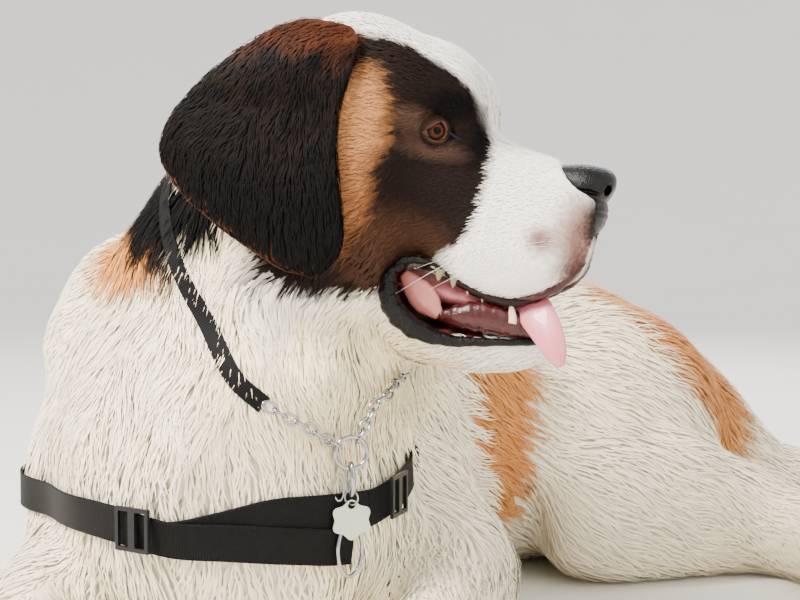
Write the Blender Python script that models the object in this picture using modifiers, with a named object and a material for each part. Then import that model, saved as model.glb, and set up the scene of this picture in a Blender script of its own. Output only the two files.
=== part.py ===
"""A young adult Saint Bernard lying down, head up and turned to its left, mouth open.

Metres, +Z up. The dog's chest lies at the origin on the floor and its body runs back along +Y.
Its left side is +X. The flesh is modelled whole and parted with thin cuts, and the collar,
its chain and tag, and the harness lie on it as pieces of their own.
"""

import math
import random

import bmesh
import bpy
from mathutils import Matrix, Vector
from mathutils.bvhtree import BVHTree

GAP = 0.0003
UP = Vector((0.0, 0.0, 1.0))
SLEEVE = 0.008
BODY_TRIANGLES = 1500
HEAD_TRIANGLES = 1180
PAW_TRIANGLES = 180
BLOCK = 2.6

# The trunk: centre x, y, z, half width, half height, from the breast to the tail's root.
TRUNK = (
    (0.172, -0.182, 0.205, 0.045, 0.060),
    (0.150, -0.160, 0.205, 0.095, 0.125),
    (0.100, -0.108, 0.195, 0.150, 0.185),
    (0.025, -0.036, 0.198, 0.172, 0.212),
    (-0.043, 0.055, 0.202, 0.182, 0.218),
    (-0.082, 0.224, 0.193, 0.172, 0.207),
    (-0.060, 0.400, 0.182, 0.165, 0.194),
    (-0.010, 0.550, 0.172, 0.158, 0.184),
    (0.055, 0.670, 0.138, 0.150, 0.146),
    (0.125, 0.745, 0.098, 0.105, 0.104),
    (0.185, 0.785, 0.070, 0.050, 0.058),
)
NECK = (
    (-0.012, 0.016, 0.220, 0.165, 0.155),
    (0.045, -0.020, 0.305, 0.155, 0.150),
    (0.092, -0.045, 0.385, 0.138, 0.132),
    (0.130, -0.052, 0.450, 0.112, 0.112),
    (0.175, -0.048, 0.495, 0.080, 0.085),
)
TAIL = (
    (0.150, 0.760, 0.080, 0.050, 0.055),
    (0.232, 0.841, 0.052, 0.050, 0.058),
    (0.312, 0.916, 0.046, 0.052, 0.052),
    (0.425, 0.967, 0.042, 0.050, 0.048),
    (0.541, 0.981, 0.034, 0.038, 0.040),
    (0.610, 0.958, 0.024, 0.016, 0.024),
)
# Each lower leg: centre x, y, z, half width, half height, from its joint to the toes.
FOREARM_RIGHT = (
    (-0.175, 0.015, 0.060, 0.036, 0.045),
    (-0.150, -0.045, 0.068, 0.064, 0.076),
    (-0.060, -0.190, 0.060, 0.050, 0.066),
    (0.046, -0.319, 0.044, 0.041, 0.050),
    (0.098, -0.380, 0.038, 0.051, 0.045),
    (0.132, -0.419, 0.028, 0.042, 0.034),
)
FOREARM_LEFT = (
    (0.122, 0.205, 0.060, 0.036, 0.045),
    (0.152, 0.145, 0.068, 0.064, 0.076),
    (0.225, 0.015, 0.060, 0.050, 0.066),
    (0.296, -0.111, 0.044, 0.041, 0.050),
    (0.336, -0.176, 0.038, 0.051, 0.045),
    (0.362, -0.218, 0.028, 0.042, 0.034),
)
SHANK_LEFT = (
    (0.080, 0.400, 0.080, 0.050, 0.065),
    (0.125, 0.450, 0.085, 0.075, 0.095),
    (0.200, 0.540, 0.075, 0.060, 0.083),
    (0.262, 0.606, 0.058, 0.046, 0.066),
    (0.330, 0.585, 0.044, 0.040, 0.054),
    (0.412, 0.527, 0.038, 0.041, 0.046),
    (0.462, 0.490, 0.034, 0.050, 0.042),
    (0.496, 0.464, 0.026, 0.040, 0.032),
)
SHANK_RIGHT = (
    (-0.140, 0.800, 0.044, 0.026, 0.040),
    (-0.172, 0.720, 0.048, 0.044, 0.058),
    (-0.225, 0.600, 0.042, 0.041, 0.052),
    (-0.252, 0.540, 0.038, 0.050, 0.045),
    (-0.268, 0.500, 0.028, 0.040, 0.034),
)
THIGH_LEFT = ((0.085, 0.535, 0.165), (0.115, 0.165, 0.160), -25)
THIGH_RIGHT = ((-0.135, 0.590, 0.125), (0.100, 0.165, 0.135), 10)
# A paw: the height of its middle, its pad's radii, and per pair of toes how far ahead, aside, and radii.
PAW_HEIGHT = 0.029
PAW_PAD = (0.050, 0.046, 0.034)
# Degrees a toe turns outwards for each metre it stands aside.
TOE_SPLAY = 200
TOES = ((0.046, 0.0125, (0.032, 0.0145, 0.026)), (0.030, 0.0370, (0.032, 0.0140, 0.024)))
# Rounded masses of muscle and ruff: centre, radii, turn about Z in degrees.
BODY_MASSES = (
    THIGH_LEFT,
    THIGH_RIGHT,
    ((-0.085, -0.055, 0.285), (0.090, 0.120, 0.130), 40),
    ((0.080, 0.095, 0.265), (0.080, 0.110, 0.120), 40),
    ((-0.110, -0.085, 0.160), (0.080, 0.085, 0.120), 40),
    ((0.118, 0.110, 0.150), (0.070, 0.080, 0.110), 40),
    ((0.108, -0.060, 0.275), (0.112, 0.120, 0.090), 40),
    ((0.130, -0.020, 0.195), (0.076, 0.100, 0.160), 35),
    ((0.188, 0.070, 0.095), (0.045, 0.075, 0.078), 30),
    ((0.158, -0.070, 0.270), (0.068, 0.084, 0.062), 30),
)
HEAD_AT = Vector((0.258, -0.0167, 0.4886))
HEAD_TURN = math.radians(23.0)
HEAD_NOD = math.radians(12.0)
HEAD_FRAME = (
    Matrix.Translation(HEAD_AT) @ Matrix.Rotation(HEAD_TURN, 4, "Z") @ Matrix.Rotation(HEAD_NOD, 4, "Y")
)
# The cuts between neck and torso, and between head and neck: a point and the way up the neck.
COLLAR_PLANE = (Vector((0.163, -0.127, 0.283)), Vector((0.831, -0.225, 0.509)))
NAPE_PLANE = (
    HEAD_FRAME @ Vector((-0.100, 0.0, -0.020)),
    HEAD_FRAME.to_3x3() @ Vector((0.894, 0.0, 0.447)),
)

HEAD_ROOM = (0.50, 0.32, 0.50)
# What hangs below this plane, under the jaw, is the neck's ruff.
JAW_PLANE = (HEAD_FRAME @ Vector((0.0, 0.0, -0.197)), HEAD_FRAME.to_3x3() @ UP)

# The head in its own frame, x forward, y left, z up from between the eyes.
MUZZLE = (
    (-0.034, 0.0, -0.045, 0.075, 0.065),
    (0.010, 0.0, -0.050, 0.058, 0.063),
    (0.045, 0.0, -0.054, 0.050, 0.058),
    (0.075, 0.0, -0.056, 0.049, 0.056),
    (0.105, 0.0, -0.055, 0.047, 0.053),
    (0.126, 0.0, -0.055, 0.043, 0.047),
    (0.136, 0.0, -0.057, 0.028, 0.033),
)
LOWER_JAW = (
    (-0.085, 0.0, -0.135, 0.055, 0.040),
    (-0.030, 0.0, -0.155, 0.056, 0.034),
    (0.030, 0.0, -0.172, 0.050, 0.0225),
    (0.070, 0.0, -0.168, 0.043, 0.0225),
    (0.102, 0.0, -0.160, 0.034, 0.019),
    (0.120, 0.0, -0.153, 0.018, 0.010),
)
# Masses of the head: centre, radii, turn about Z. Those off the middle are mirrored.
HEAD_MASSES = (
    ((-0.084, 0.000, 0.002), (0.084, 0.092, 0.085), 0),
    ((-0.030, 0.000, 0.034), (0.056, 0.032, 0.043), 0),
    ((-0.032, 0.024, 0.026), (0.066, 0.044, 0.046), 0),
    ((-0.056, 0.030, 0.014), (0.072, 0.056, 0.062), 0),
    ((0.000, 0.024, 0.016), (0.038, 0.028, 0.025), 0),
    ((-0.064, 0.054, -0.058), (0.060, 0.042, 0.072), -12),
    ((0.008, 0.032, -0.056), (0.060, 0.030, 0.044), -10),
    ((-0.062, 0.040, -0.118), (0.050, 0.036, 0.040), 0),
    ((0.064, 0.035, -0.084), (0.070, 0.025, 0.048), 0),
    ((-0.080, 0.000, -0.090), (0.085, 0.078, 0.092), 0),
    ((0.100, 0.017, -0.080), (0.038, 0.030, 0.044), 0),
)
# The side of the mouth's opening, as x and z, from its corner along the upper lip and back.
MOUTH_EDGE = (
    (-0.014, -0.122),
    (-0.006, -0.107),
    (0.018, -0.106),
    (0.041, -0.117),
    (0.063, -0.1235),
    (0.084, -0.1240),
    (0.103, -0.1170),
    (0.124, -0.1020),
    (0.150, -0.0800),
    (0.160, -0.1500),
    (0.110, -0.1500),
    (0.086, -0.1520),
    (0.061, -0.1555),
    (0.041, -0.1600),
    (0.024, -0.1600),
    (0.006, -0.1540),
    (-0.008, -0.1420),
)
PALATE = (
    (0.000, 0.0, -0.108, 0.030, 0.018),
    (0.040, 0.0, -0.106, 0.036, 0.021),
    (0.080, 0.0, -0.106, 0.033, 0.021),
    (0.105, 0.0, -0.104, 0.026, 0.016),
    (0.116, 0.0, -0.103, 0.012, 0.008),
)
TONGUE = (
    (-0.040, 0.000, -0.131, 0.026, 0.010, 0),
    (0.000, 0.000, -0.129, 0.030, 0.013, 0),
    (0.035, -0.002, -0.130, 0.030, 0.012, 0),
    (0.065, -0.006, -0.128, 0.023, 0.009, 10),
    (0.088, -0.013, -0.124, 0.0155, 0.006, 30),
    (0.106, -0.034, -0.127, 0.0165, 0.0050, 62),
    (0.1245, -0.046, -0.1445, 0.0135, 0.0045, 72),
    (0.1340, -0.049, -0.1580, 0.0080, 0.0035, 74),
    (0.1376, -0.050, -0.1640, 0.0030, 0.0020, 74),
)
NOSE = (
    (0.096, 0.0, -0.016, 0.016, 0.010),
    (0.110, 0.0, -0.019, 0.024, 0.018),
    (0.124, 0.0, -0.022, 0.0265, 0.0215),
    (0.135, 0.0, -0.024, 0.022, 0.020),
    (0.141, 0.0, -0.026, 0.010, 0.010),
)
NOSTRIL = ((0.137, 0.0125, -0.020), (0.012, 0.0055, 0.0048), 28)
NOSTRIL_SLIT = ((0.127, 0.0255, -0.0245), (0.012, 0.0050, 0.0022), -14)

EYE_AT = Vector((-0.006, 0.0400, -0.001))
EYE_RADIUS = 0.0125
EYE_TURN = math.radians(60.0)
LID_OPENING = (0.0118, 0.0078)
# The power that draws the corners of the opening to points.
LID_POINTED = 1.4
LID_THICKNESS = 0.0024
# The hollow that the lids lie in: how far its middle is from the eyeball's, and its radii.
HOLLOW = (0.0215, (0.026, 0.0125, 0.0145))
# The ear from its root down: z, front x, back x, distance from the head's middle.
EAR_ROWS = (
    (0.064, -0.082, -0.118, 0.060),
    (0.052, -0.070, -0.140, 0.072),
    (0.030, -0.068, -0.162, 0.084),
    (0.005, -0.070, -0.184, 0.091),
    (-0.025, -0.066, -0.203, 0.096),
    (-0.060, -0.056, -0.210, 0.100),
    (-0.088, -0.047, -0.186, 0.101),
    (-0.112, -0.046, -0.142, 0.100),
    (-0.132, -0.062, -0.088, 0.097),
)
EAR_THICKNESS = 0.008
EAR_COLUMNS = 7
EAR_CREASE = 0.010
EAR_CURL = 0.012
EAR_STEP = 0.0008
# How much of the ear's breadth shows: the turned neck tucks the left one in.
EAR_SPREAD = {1: 0.70, -1: 1.0}

# The roll of the black lip from the mouth's corner along the lower jaw: x, z, distance from the middle.
LIP_ROLL = (
    (-0.016, -0.120, 0.050),
    (-0.014, -0.136, 0.053),
    (-0.003, -0.151, 0.053),
    (0.016, -0.161, 0.051),
    (0.045, -0.163, 0.046),
    (0.080, -0.157, 0.038),
    (0.106, -0.152, 0.028),
    (0.119, -0.150, 0.012),
)
LIP_RADIUS = 0.0055
CANINE = (Vector((0.084, 0.036, -0.148)), 0.0050, 0.026)
CHEEK_TEETH = 4
GUM_RISE = 0.0065

# The harness: waypoints near the coat that its straps are laid along, and the girth behind the elbows.
STRAP_WIDTH = 0.026
STRAP_THICKNESS = 0.0026
STRAP_LIFT = 0.0008
STRAP_STEP = 0.0005
STRAP_START = 0.08
STRAP_RIGHT = (
    (-0.262, 0.232, 0.185),
    (-0.262, 0.100, 0.176),
    (-0.220, -0.060, 0.168),
    (-0.118, -0.161, 0.163),
    (0.000, -0.215, 0.170),
    (0.075, -0.222, 0.169),
    (0.133, -0.190, 0.163),
    (0.185, -0.144, 0.156),
    (0.204, -0.118, 0.151),
    (0.210, -0.096, 0.149),
)
STRAP_LEFT = (
    (0.214, -0.076, 0.176),
    (0.214, -0.012, 0.187),
    (0.210, 0.030, 0.200),
    (0.200, 0.090, 0.212),
    (0.165, 0.160, 0.212),
    (0.100, 0.232, 0.200),
)
STRAP_SECOND = ((0.145, -0.180, 0.177), (0.180, -0.148, 0.176), (0.203, -0.120, 0.175))
GIRTH_AXIS = Vector((-0.083, 0.250, 0.170))
GIRTH_ENDS = (-46, 226)
SLIDES = (
    ("slide_right", Vector((0.0955, -0.2150, 0.168))),
    ("slide_left", Vector((0.2140, -0.0400, 0.183))),
)
SLIDE_SIZE = (0.036, 0.036, 0.0032)
# The collar's band from its end at the right of the throat, over the nape, to its left end.
COLLAR_ROUTE = (
    (0.1842, -0.1664, 0.2693),
    (0.1600, -0.1795, 0.2945),
    (0.1143, -0.1711, 0.3425),
    (0.0897, -0.1773, 0.3802),
    (0.0677, -0.1697, 0.4196),
    (0.0515, -0.1493, 0.4550),
    (0.0376, -0.0836, 0.5067),
    (0.0565, -0.0015, 0.5121),
    (0.0985, 0.0548, 0.4685),
    (0.1455, 0.0742, 0.4003),
    (0.1875, 0.0415, 0.3174),
    (0.2120, -0.0050, 0.2850),
)
COLLAR_WIDTH = 0.022
# The chain from the band's right end to its ring, and from the ring to the band's left end.
CHAIN_RIGHT = ((0.1842, -0.1664, 0.2693), (0.2000, -0.1490, 0.2560), (0.2141, -0.1344, 0.2443))
CHAIN_LEFT = ((0.2436, -0.0840, 0.2682), (0.2350, -0.0450, 0.2830), (0.2170, -0.0150, 0.2850))
RING_AT = Vector((0.2385, -0.1010, 0.2282))
CHAIN_LIFT = 0.0102
RING_RISE = 0.0165
# A link of the chain: half its length and half its width along the wire's middle, the wire's radius.
LINK = (0.0071, 0.0045, 0.0012)
LINK_PITCH = 0.0094
LINK_SLACK = 0.0008
LINK_POINTS = 8
RING = (0.0135, 0.0019)
RING_POINTS = 14
BOW = (0.0135, 0.0062, 0.0021)
BOW_POINTS = 12
TAG_RING = (0.0062, 0.0008)
TAG_RING_POINTS = 10
TAG_HOLE = 0.0034
TAG_HOLE_UP = 0.0122
TAG_WIDER = 1.05
STRAP_RING = (0.0225, 0.0125, 0.0017)
STRAP_RING_AT = Vector((0.2095, -0.1010, 0.1465))
RING_LIFT = 0.0085
HANG_OUT = Vector((0.82, -0.57, 0.0)).normalized()

# How far the flesh under the long coat lies inside the stations and masses above.
CORE_UNDER = 0.006
# The lie of the long coat: near each place, the way that the hair points.
LIE = (
    ((0.040, -0.150, 0.450), (-0.3, -0.2, -0.9)),
    ((0.180, -0.150, 0.330), (0.3, -0.2, -1.0)),
    ((0.200, 0.060, 0.330), (0.2, 0.4, -0.9)),
    ((0.030, 0.000, 0.500), (-0.6, 0.5, -0.6)),
    ((0.210, -0.130, 0.230), (0.1, -0.1, -1.0)),
    ((0.050, -0.220, 0.200), (-0.1, -0.1, -1.0)),
    ((-0.090, -0.180, 0.240), (-0.4, 0.1, -0.9)),
    ((-0.080, -0.050, 0.400), (-0.5, 0.7, -0.3)),
    ((-0.200, 0.050, 0.200), (-0.1, 0.6, -0.8)),
    ((0.190, 0.110, 0.200), (0.2, 0.6, -0.8)),
    ((-0.080, 0.230, 0.410), (0.0, 1.0, 0.0)),
    ((0.090, 0.250, 0.200), (0.1, 0.8, -0.6)),
    ((-0.250, 0.300, 0.200), (-0.1, 0.8, -0.6)),
    ((0.000, 0.520, 0.370), (0.1, 1.0, -0.2)),
    ((0.170, 0.560, 0.220), (0.3, 0.6, -0.7)),
    ((-0.220, 0.600, 0.150), (-0.1, 0.8, -0.7)),
    ((0.080, 0.730, 0.230), (0.4, 0.8, -0.5)),
    ((0.230, 0.840, 0.090), (0.7, 0.6, -0.3)),
    ((0.420, 0.970, 0.080), (1.0, 0.1, -0.2)),
    ((0.560, 0.975, 0.060), (0.9, -0.3, -0.2)),
    ((-0.060, -0.190, 0.090), (0.5, -0.7, -0.3)),
    ((0.225, 0.015, 0.090), (0.5, -0.8, -0.3)),
)
# The locks: node, from and to which y they root, how many, and their length, width and thickness.
LOCKS = (
    ("neck", -0.5, 0.5, 20, 0.090, 0.052, 0.011),
    ("torso", -0.5, 0.12, 24, 0.092, 0.056, 0.011),
    ("torso", 0.12, 1.0, 22, 0.140, 0.082, 0.012),
    ("tail", 0.7, 1.1, 9, 0.100, 0.048, 0.010),
    ("hindleg_left", 0.3, 0.8, 8, 0.105, 0.064, 0.011),
    ("hindleg_right", 0.3, 0.9, 4, 0.095, 0.056, 0.011),
    ("foreleg_right", -0.2, 0.3, 2, 0.070, 0.044, 0.010),
    ("foreleg_left", -0.1, 0.3, 2, 0.070, 0.044, 0.010),
)
LOCK_SUNK = 0.010
# The rise over the flesh of a lock's rings after its root and of its tip, and each ring's share of its width.
LOCK_RISE = (0.0090, 0.0135, 0.0115)
LOCK_TAPER = (0.80, 1.00, 0.72)
LOCK_LOWEST = 0.022
LOCK_CLEAR = 0.0008
# How near a lock may come to what the dog wears.
WORN_CLEAR = 0.006
LOCK_TRIES = 4
LOCK_SEED = 11
WORN = ("harness", "collar", "slide", "chain", "snap", "tag")


def clear_scene():
    """Removes every object that the scene starts with."""
    for old in list(bpy.data.objects):
        bpy.data.objects.remove(old)


def smooth_path(stations, steps):
    """Points on a smooth curve through the stations, with every column smoothed alike."""
    ends = [Vector(s) for s in (stations[0], *stations, stations[-1])]
    made = []
    for i in range(len(stations) - 1):
        before, start, stop, after = ends[i : i + 4]
        for k in range(steps):
            t = k / steps
            pull = (stop - before) * t
            bend = (2 * before - 5 * start + 4 * stop - after) * t**2
            twist = (3 * start - before - 3 * stop + after) * t**3
            made.append(start + 0.5 * (pull + bend + twist))
    made.append(ends[-1])
    return made


def mesh_object(name, bm, collection):
    """An object made from a bmesh, with its faces turned outwards."""
    bmesh.ops.recalc_face_normals(bm, faces=bm.faces[:])
    mesh = bpy.data.meshes.new(name)
    bm.to_mesh(mesh)
    bm.free()
    made = bpy.data.objects.new(name, mesh)
    collection.objects.link(made)
    return made


def loft(name, stations, collection, margin=0.0, sides=20, steps=3):
    """A closed tube of elliptical rings through stations of x, y, z, half width, half height, roll."""
    path = smooth_path(stations, steps)
    bm = bmesh.new()
    rings = []
    for i, station in enumerate(path):
        behind, ahead = path[max(i - 1, 0)], path[min(i + 1, len(path) - 1)]
        along = (Vector(ahead[:3]) - Vector(behind[:3])).normalized()
        roll = math.radians(station[5]) if len(station) > 5 else 0.0
        across = Matrix.Rotation(roll, 3, along) @ along.cross(UP).normalized()
        raised = across.cross(along).normalized()
        overhang = margin if i == len(path) - 1 else -margin if i == 0 else 0.0
        centre = Vector(station[:3]) + along * overhang
        ring = []
        for k in range(sides):
            angle = 2 * math.pi * k / sides
            wide = across * (station[3] + margin) * math.cos(angle)
            high = raised * (station[4] + margin) * math.sin(angle)
            ring.append(bm.verts.new(centre + wide + high))
        rings.append(ring)
    for first, second in zip(rings, rings[1:]):
        for k in range(sides):
            m = (k + 1) % sides
            bm.faces.new((first[k], first[m], second[m], second[k]))
    bm.faces.new(rings[0])
    bm.faces.new(rings[-1])
    return mesh_object(name, bm, collection)


def ellipsoid(name, centre, radii, turn, collection, margin=0.0, sides=20):
    """A closed ellipsoid turned about its upright axis by some degrees."""
    bm = bmesh.new()
    bmesh.ops.create_uvsphere(bm, u_segments=sides, v_segments=sides // 2, radius=1.0)
    size = Matrix.Diagonal((*(r + margin for r in radii), 1.0))
    place = Matrix.Translation(centre) @ Matrix.Rotation(math.radians(turn), 4, "Z") @ size
    bmesh.ops.transform(bm, matrix=place, verts=bm.verts)
    return mesh_object(name, bm, collection)


def tube(name, points, radii, collection, closed=False, resolution=1):
    """A round wire through points, with a radius at each, as one closed mesh."""
    curve = bpy.data.curves.new(name, "CURVE")
    curve.dimensions = "3D"
    curve.bevel_depth = 1.0
    curve.bevel_resolution = resolution
    curve.use_fill_caps = not closed
    spline = curve.splines.new("POLY")
    spline.points.add(len(points) - 1)
    for point, place, radius in zip(spline.points, points, radii):
        point.co = (*place, 1.0)
        point.radius = radius
    spline.use_cyclic_u = closed
    wire = bpy.data.objects.new(name, curve)
    collection.objects.link(wire)
    wire = baked(wire, collection)
    bm = bmesh.new()
    bm.from_mesh(wire.data)
    bpy.data.objects.remove(wire)
    bmesh.ops.remove_doubles(bm, verts=bm.verts, dist=1e-6)
    return mesh_object(name, bm, collection)


def baked(obj, collection):
    """A plain mesh object that holds what the object's modifiers make, in its place."""
    graph = bpy.context.evaluated_depsgraph_get()
    graph.update()
    mesh = bpy.data.meshes.new_from_object(obj.evaluated_get(graph))
    mesh.transform(obj.matrix_world)
    name = obj.name
    bpy.data.objects.remove(obj)
    made = bpy.data.objects.new(name, mesh)
    collection.objects.link(made)
    return made


def fused(name, pieces, collection, voxel, smoothing, triangles):
    """One closed skin round all the pieces, smoothed and brought to about that many triangles."""
    bm = bmesh.new()
    for piece in pieces:
        bm.from_mesh(piece.data)
        bpy.data.objects.remove(piece)
    whole = mesh_object(name, bm, collection)
    remesh = whole.modifiers.new("remesh", "REMESH")
    remesh.mode = "VOXEL"
    remesh.voxel_size = voxel
    smooth = whole.modifiers.new("smooth", "SMOOTH")
    smooth.factor = 0.5
    smooth.iterations = smoothing
    whole = baked(whole, collection)
    thinner = whole.modifiers.new("thinner", "DECIMATE")
    thinner.ratio = min(1.0, triangles / (2 * len(whole.data.polygons)))
    return baked(whole, collection)


def copied(obj, name, collection, grow=0.0):
    """A copy of a mesh object, its surface moved out by grow along its normals."""
    mesh = obj.data.copy()
    for vertex, normal in zip(mesh.vertices, [v.normal.copy() for v in obj.data.vertices]):
        vertex.co += normal * grow
    made = bpy.data.objects.new(name, mesh)
    collection.objects.link(made)
    return made


def cut(obj, cutter, operation, collection, solver="EXACT"):
    """The object after one Boolean with a cutter, which is removed, as its largest closed surface."""
    boolean = obj.modifiers.new("cut", "BOOLEAN")
    boolean.operation = operation
    boolean.object = cutter
    boolean.solver = solver
    made = baked(obj, collection)
    bpy.data.objects.remove(cutter)
    return largest(made)


def joined(obj, pieces, collection, solver="EXACT"):
    """The object and all the pieces as one solid, by one Boolean union on a collection."""
    group = bpy.data.collections.new("joined")
    bpy.context.scene.collection.children.link(group)
    for piece in pieces:
        for home in list(piece.users_collection):
            home.objects.unlink(piece)
        group.objects.link(piece)
    boolean = obj.modifiers.new("join", "BOOLEAN")
    boolean.operation = "UNION"
    boolean.operand_type = "COLLECTION"
    boolean.collection = group
    boolean.solver = solver
    made = baked(obj, collection)
    for piece in pieces:
        bpy.data.objects.remove(piece)
    bpy.data.collections.remove(group)
    return largest(made)


def largest(obj):
    """The object with only its largest closed surface kept."""
    bm = bmesh.new()
    bm.from_mesh(obj.data)
    bmesh.ops.triangulate(bm, faces=bm.faces[:])
    bmesh.ops.remove_doubles(bm, verts=bm.verts, dist=2e-6)
    bmesh.ops.dissolve_degenerate(bm, edges=bm.edges[:], dist=1e-6)
    bmesh.ops.triangulate(bm, faces=bm.faces[:])
    left = set(bm.verts)
    groups = []
    while left:
        grown = [left.pop()]
        group = set(grown)
        while grown:
            vertex = grown.pop()
            for edge in vertex.link_edges:
                other = edge.other_vert(vertex)
                if other in left:
                    left.discard(other)
                    group.add(other)
                    grown.append(other)
        groups.append(group)
    main = max(groups, key=lambda group: sum(f.calc_area() for v in group for f in v.link_faces))
    bmesh.ops.delete(bm, geom=[v for v in bm.verts if v not in main], context="VERTS")
    bm.to_mesh(obj.data)
    bm.free()
    return obj


def half_space(name, plane, gap, collection):
    """A block whose one face lies on the plane, moved back by gap, and that fills the side beyond."""
    point, normal = plane
    bm = bmesh.new()
    bmesh.ops.create_cube(bm, size=BLOCK)
    turn = normal.to_track_quat("Z", "Y").to_matrix().to_4x4()
    place = Matrix.Translation(point + normal.normalized() * (BLOCK / 2 - gap)) @ turn
    bmesh.ops.transform(bm, matrix=place, verts=bm.verts)
    return mesh_object(name, bm, collection)


def head_wedge(gap, collection):
    """The space beyond the nape's plane and above the jaw's, which holds the head."""
    bm = bmesh.new()
    bmesh.ops.create_cube(bm, size=1.0)
    bmesh.ops.transform(bm, matrix=HEAD_FRAME @ Matrix.Diagonal((*HEAD_ROOM, 1.0)), verts=bm.verts)
    room = mesh_object("room", bm, collection)
    room = cut(room, half_space("beyond_nape", NAPE_PLANE, gap, collection), "INTERSECT", collection)
    return cut(room, half_space("above_jaw", JAW_PLANE, gap, collection), "INTERSECT", collection)


def material(name, colour, roughness, metallic=0.0):
    """A Principled material of one colour."""
    made = bpy.data.materials.new(name)
    made.use_nodes = True
    shader = made.node_tree.nodes["Principled BSDF"]
    shader.inputs["Base Color"].default_value = (*colour, 1.0)
    shader.inputs["Roughness"].default_value = roughness
    shader.inputs["Metallic"].default_value = metallic
    made.diffuse_color = (*colour, 1.0)
    return made


def to_world(obj):
    """Moves a piece that was made in the head's frame to its place on the dog."""
    obj.data.transform(HEAD_FRAME)
    return obj


def make_body(dog):
    """The whole body but the head, resting on flats cut at the floor."""
    lofts = (TRUNK, NECK, TAIL, FOREARM_RIGHT, FOREARM_LEFT, SHANK_LEFT, SHANK_RIGHT)
    pieces = [loft(f"body_{i}", stations, dog, margin=-CORE_UNDER) for i, stations in enumerate(lofts[:3])]
    pieces += [loft(f"leg_{i}", stations, dog) for i, stations in enumerate(lofts[3:])]
    pieces += [ellipsoid(f"mass_{i}", *mass, dog, margin=-CORE_UNDER) for i, mass in enumerate(BODY_MASSES)]
    body = fused("torso", pieces, dog, 0.009, 8, BODY_TRIANGLES)
    return cut(body, half_space("floor", (Vector((0.0, 0.3, 0.0)), -UP), 0.0, dog), "DIFFERENCE", dog)


def part_limb(body, name, sleeves, dog):
    """The flesh inside a limb's sleeves as its own node, and the body with that flesh taken out."""
    inner = [shape(name, *sizes, dog, margin=SLEEVE, sides=14) for shape, *sizes in sleeves]
    outer = [shape(name, *sizes, dog, margin=SLEEVE + 1.2 * GAP, sides=14) for shape, *sizes in sleeves]
    inner = joined(inner[0], inner[1:], dog) if len(inner) > 1 else inner[0]
    outer = joined(outer[0], outer[1:], dog) if len(outer) > 1 else outer[0]
    limb = cut(copied(body, name, dog), inner, "INTERSECT", dog)
    return limb, cut(body, outer, "DIFFERENCE", dog)


def make_paw(bones, dog):
    """A paw with four arched toes round its pad, at the end of a leg's stations."""
    wrist, tip = Vector(bones[-3][:3]), Vector(bones[-1][:3])
    ahead = Vector((tip.x - wrist.x, tip.y - wrist.y, 0.0)).normalized()
    across = UP.cross(ahead)
    turn = math.degrees(math.atan2(ahead.y, ahead.x))
    heart = Vector((bones[-2][0], bones[-2][1], PAW_HEIGHT))
    pieces = [ellipsoid("pad", heart, PAW_PAD, turn, dog, sides=14)]
    for forward, aside, radii in TOES:
        for side in (1, -1):
            place = heart + ahead * forward + across * side * aside
            splay = turn - side * TOE_SPLAY * aside
            pieces.append(ellipsoid("toe", place - UP * 0.002, radii, splay, dog, sides=14))
    paw = fused("paw", pieces, dog, 0.004, 2, PAW_TRIANGLES)
    return cut(paw, half_space("floor", (Vector((0.0, 0.3, 0.0)), -UP), 0.0, dog), "DIFFERENCE", dog)


def make_flesh(dog):
    """The body, parted into torso, neck, tail and legs, and a search tree over it as a whole."""
    nodes = {}
    body = make_body(dog)
    whole = surface(body)
    limbs = (
        ("foreleg_right", FOREARM_RIGHT, ((loft, FOREARM_RIGHT),)),
        ("foreleg_left", FOREARM_LEFT, ((loft, FOREARM_LEFT),)),
        ("hindleg_left", SHANK_LEFT, ((loft, SHANK_LEFT), (ellipsoid, *THIGH_LEFT))),
        ("hindleg_right", SHANK_RIGHT, ((loft, SHANK_RIGHT), (ellipsoid, *THIGH_RIGHT))),
        ("tail", None, ((loft, TAIL),)),
    )
    for name, bones, sleeves in limbs:
        nodes[name], body = part_limb(body, name, sleeves, dog)
        if bones:
            nodes[name] = joined(nodes[name], [make_paw(bones, dog)], dog)
    neck = cut(copied(body, "neck", dog), half_space("above", COLLAR_PLANE, 0.0, dog), "INTERSECT", dog)
    torso = cut(body, half_space("above", COLLAR_PLANE, GAP, dog), "DIFFERENCE", dog)
    nodes["torso"] = cut(torso, head_wedge(GAP, dog), "DIFFERENCE", dog)
    nodes["neck"] = cut(neck, head_wedge(GAP, dog), "DIFFERENCE", dog)
    return nodes, whole


def prism(name, outline, half_width, collection):
    """A block with the given outline in x and z, carried across y from side to side."""
    bm = bmesh.new()
    near = [bm.verts.new((x, -half_width, z)) for x, z in outline]
    bm.faces.new(near)
    made = bmesh.ops.extrude_face_region(bm, geom=bm.faces[:])
    moved = [v for v in made["geom"] if isinstance(v, bmesh.types.BMVert)]
    bmesh.ops.translate(bm, vec=(0.0, 2 * half_width, 0.0), verts=moved)
    return mesh_object(name, bm, collection)


def almond(points):
    """The outline of the opened lids, as offsets along and across the eye, round the eyeball."""
    wide, high = LID_OPENING
    made = []
    for k in range(points):
        angle = 2 * math.pi * k / points
        rise = math.copysign(abs(math.sin(angle)) ** LID_POINTED, math.sin(angle))
        made.append((wide * math.cos(angle), high * rise))
    return made


def eye_frame(side):
    """The frame of one eye: x along the lids, z up, y out of the head along the gaze."""
    gaze = Matrix.Rotation(side * (EYE_TURN - math.pi / 2), 4, "Z")
    if side < 0:
        gaze = Matrix.Rotation(math.pi, 4, "Z") @ gaze
    return Matrix.Translation((EYE_AT.x, side * EYE_AT.y, EYE_AT.z)) @ gaze


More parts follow.
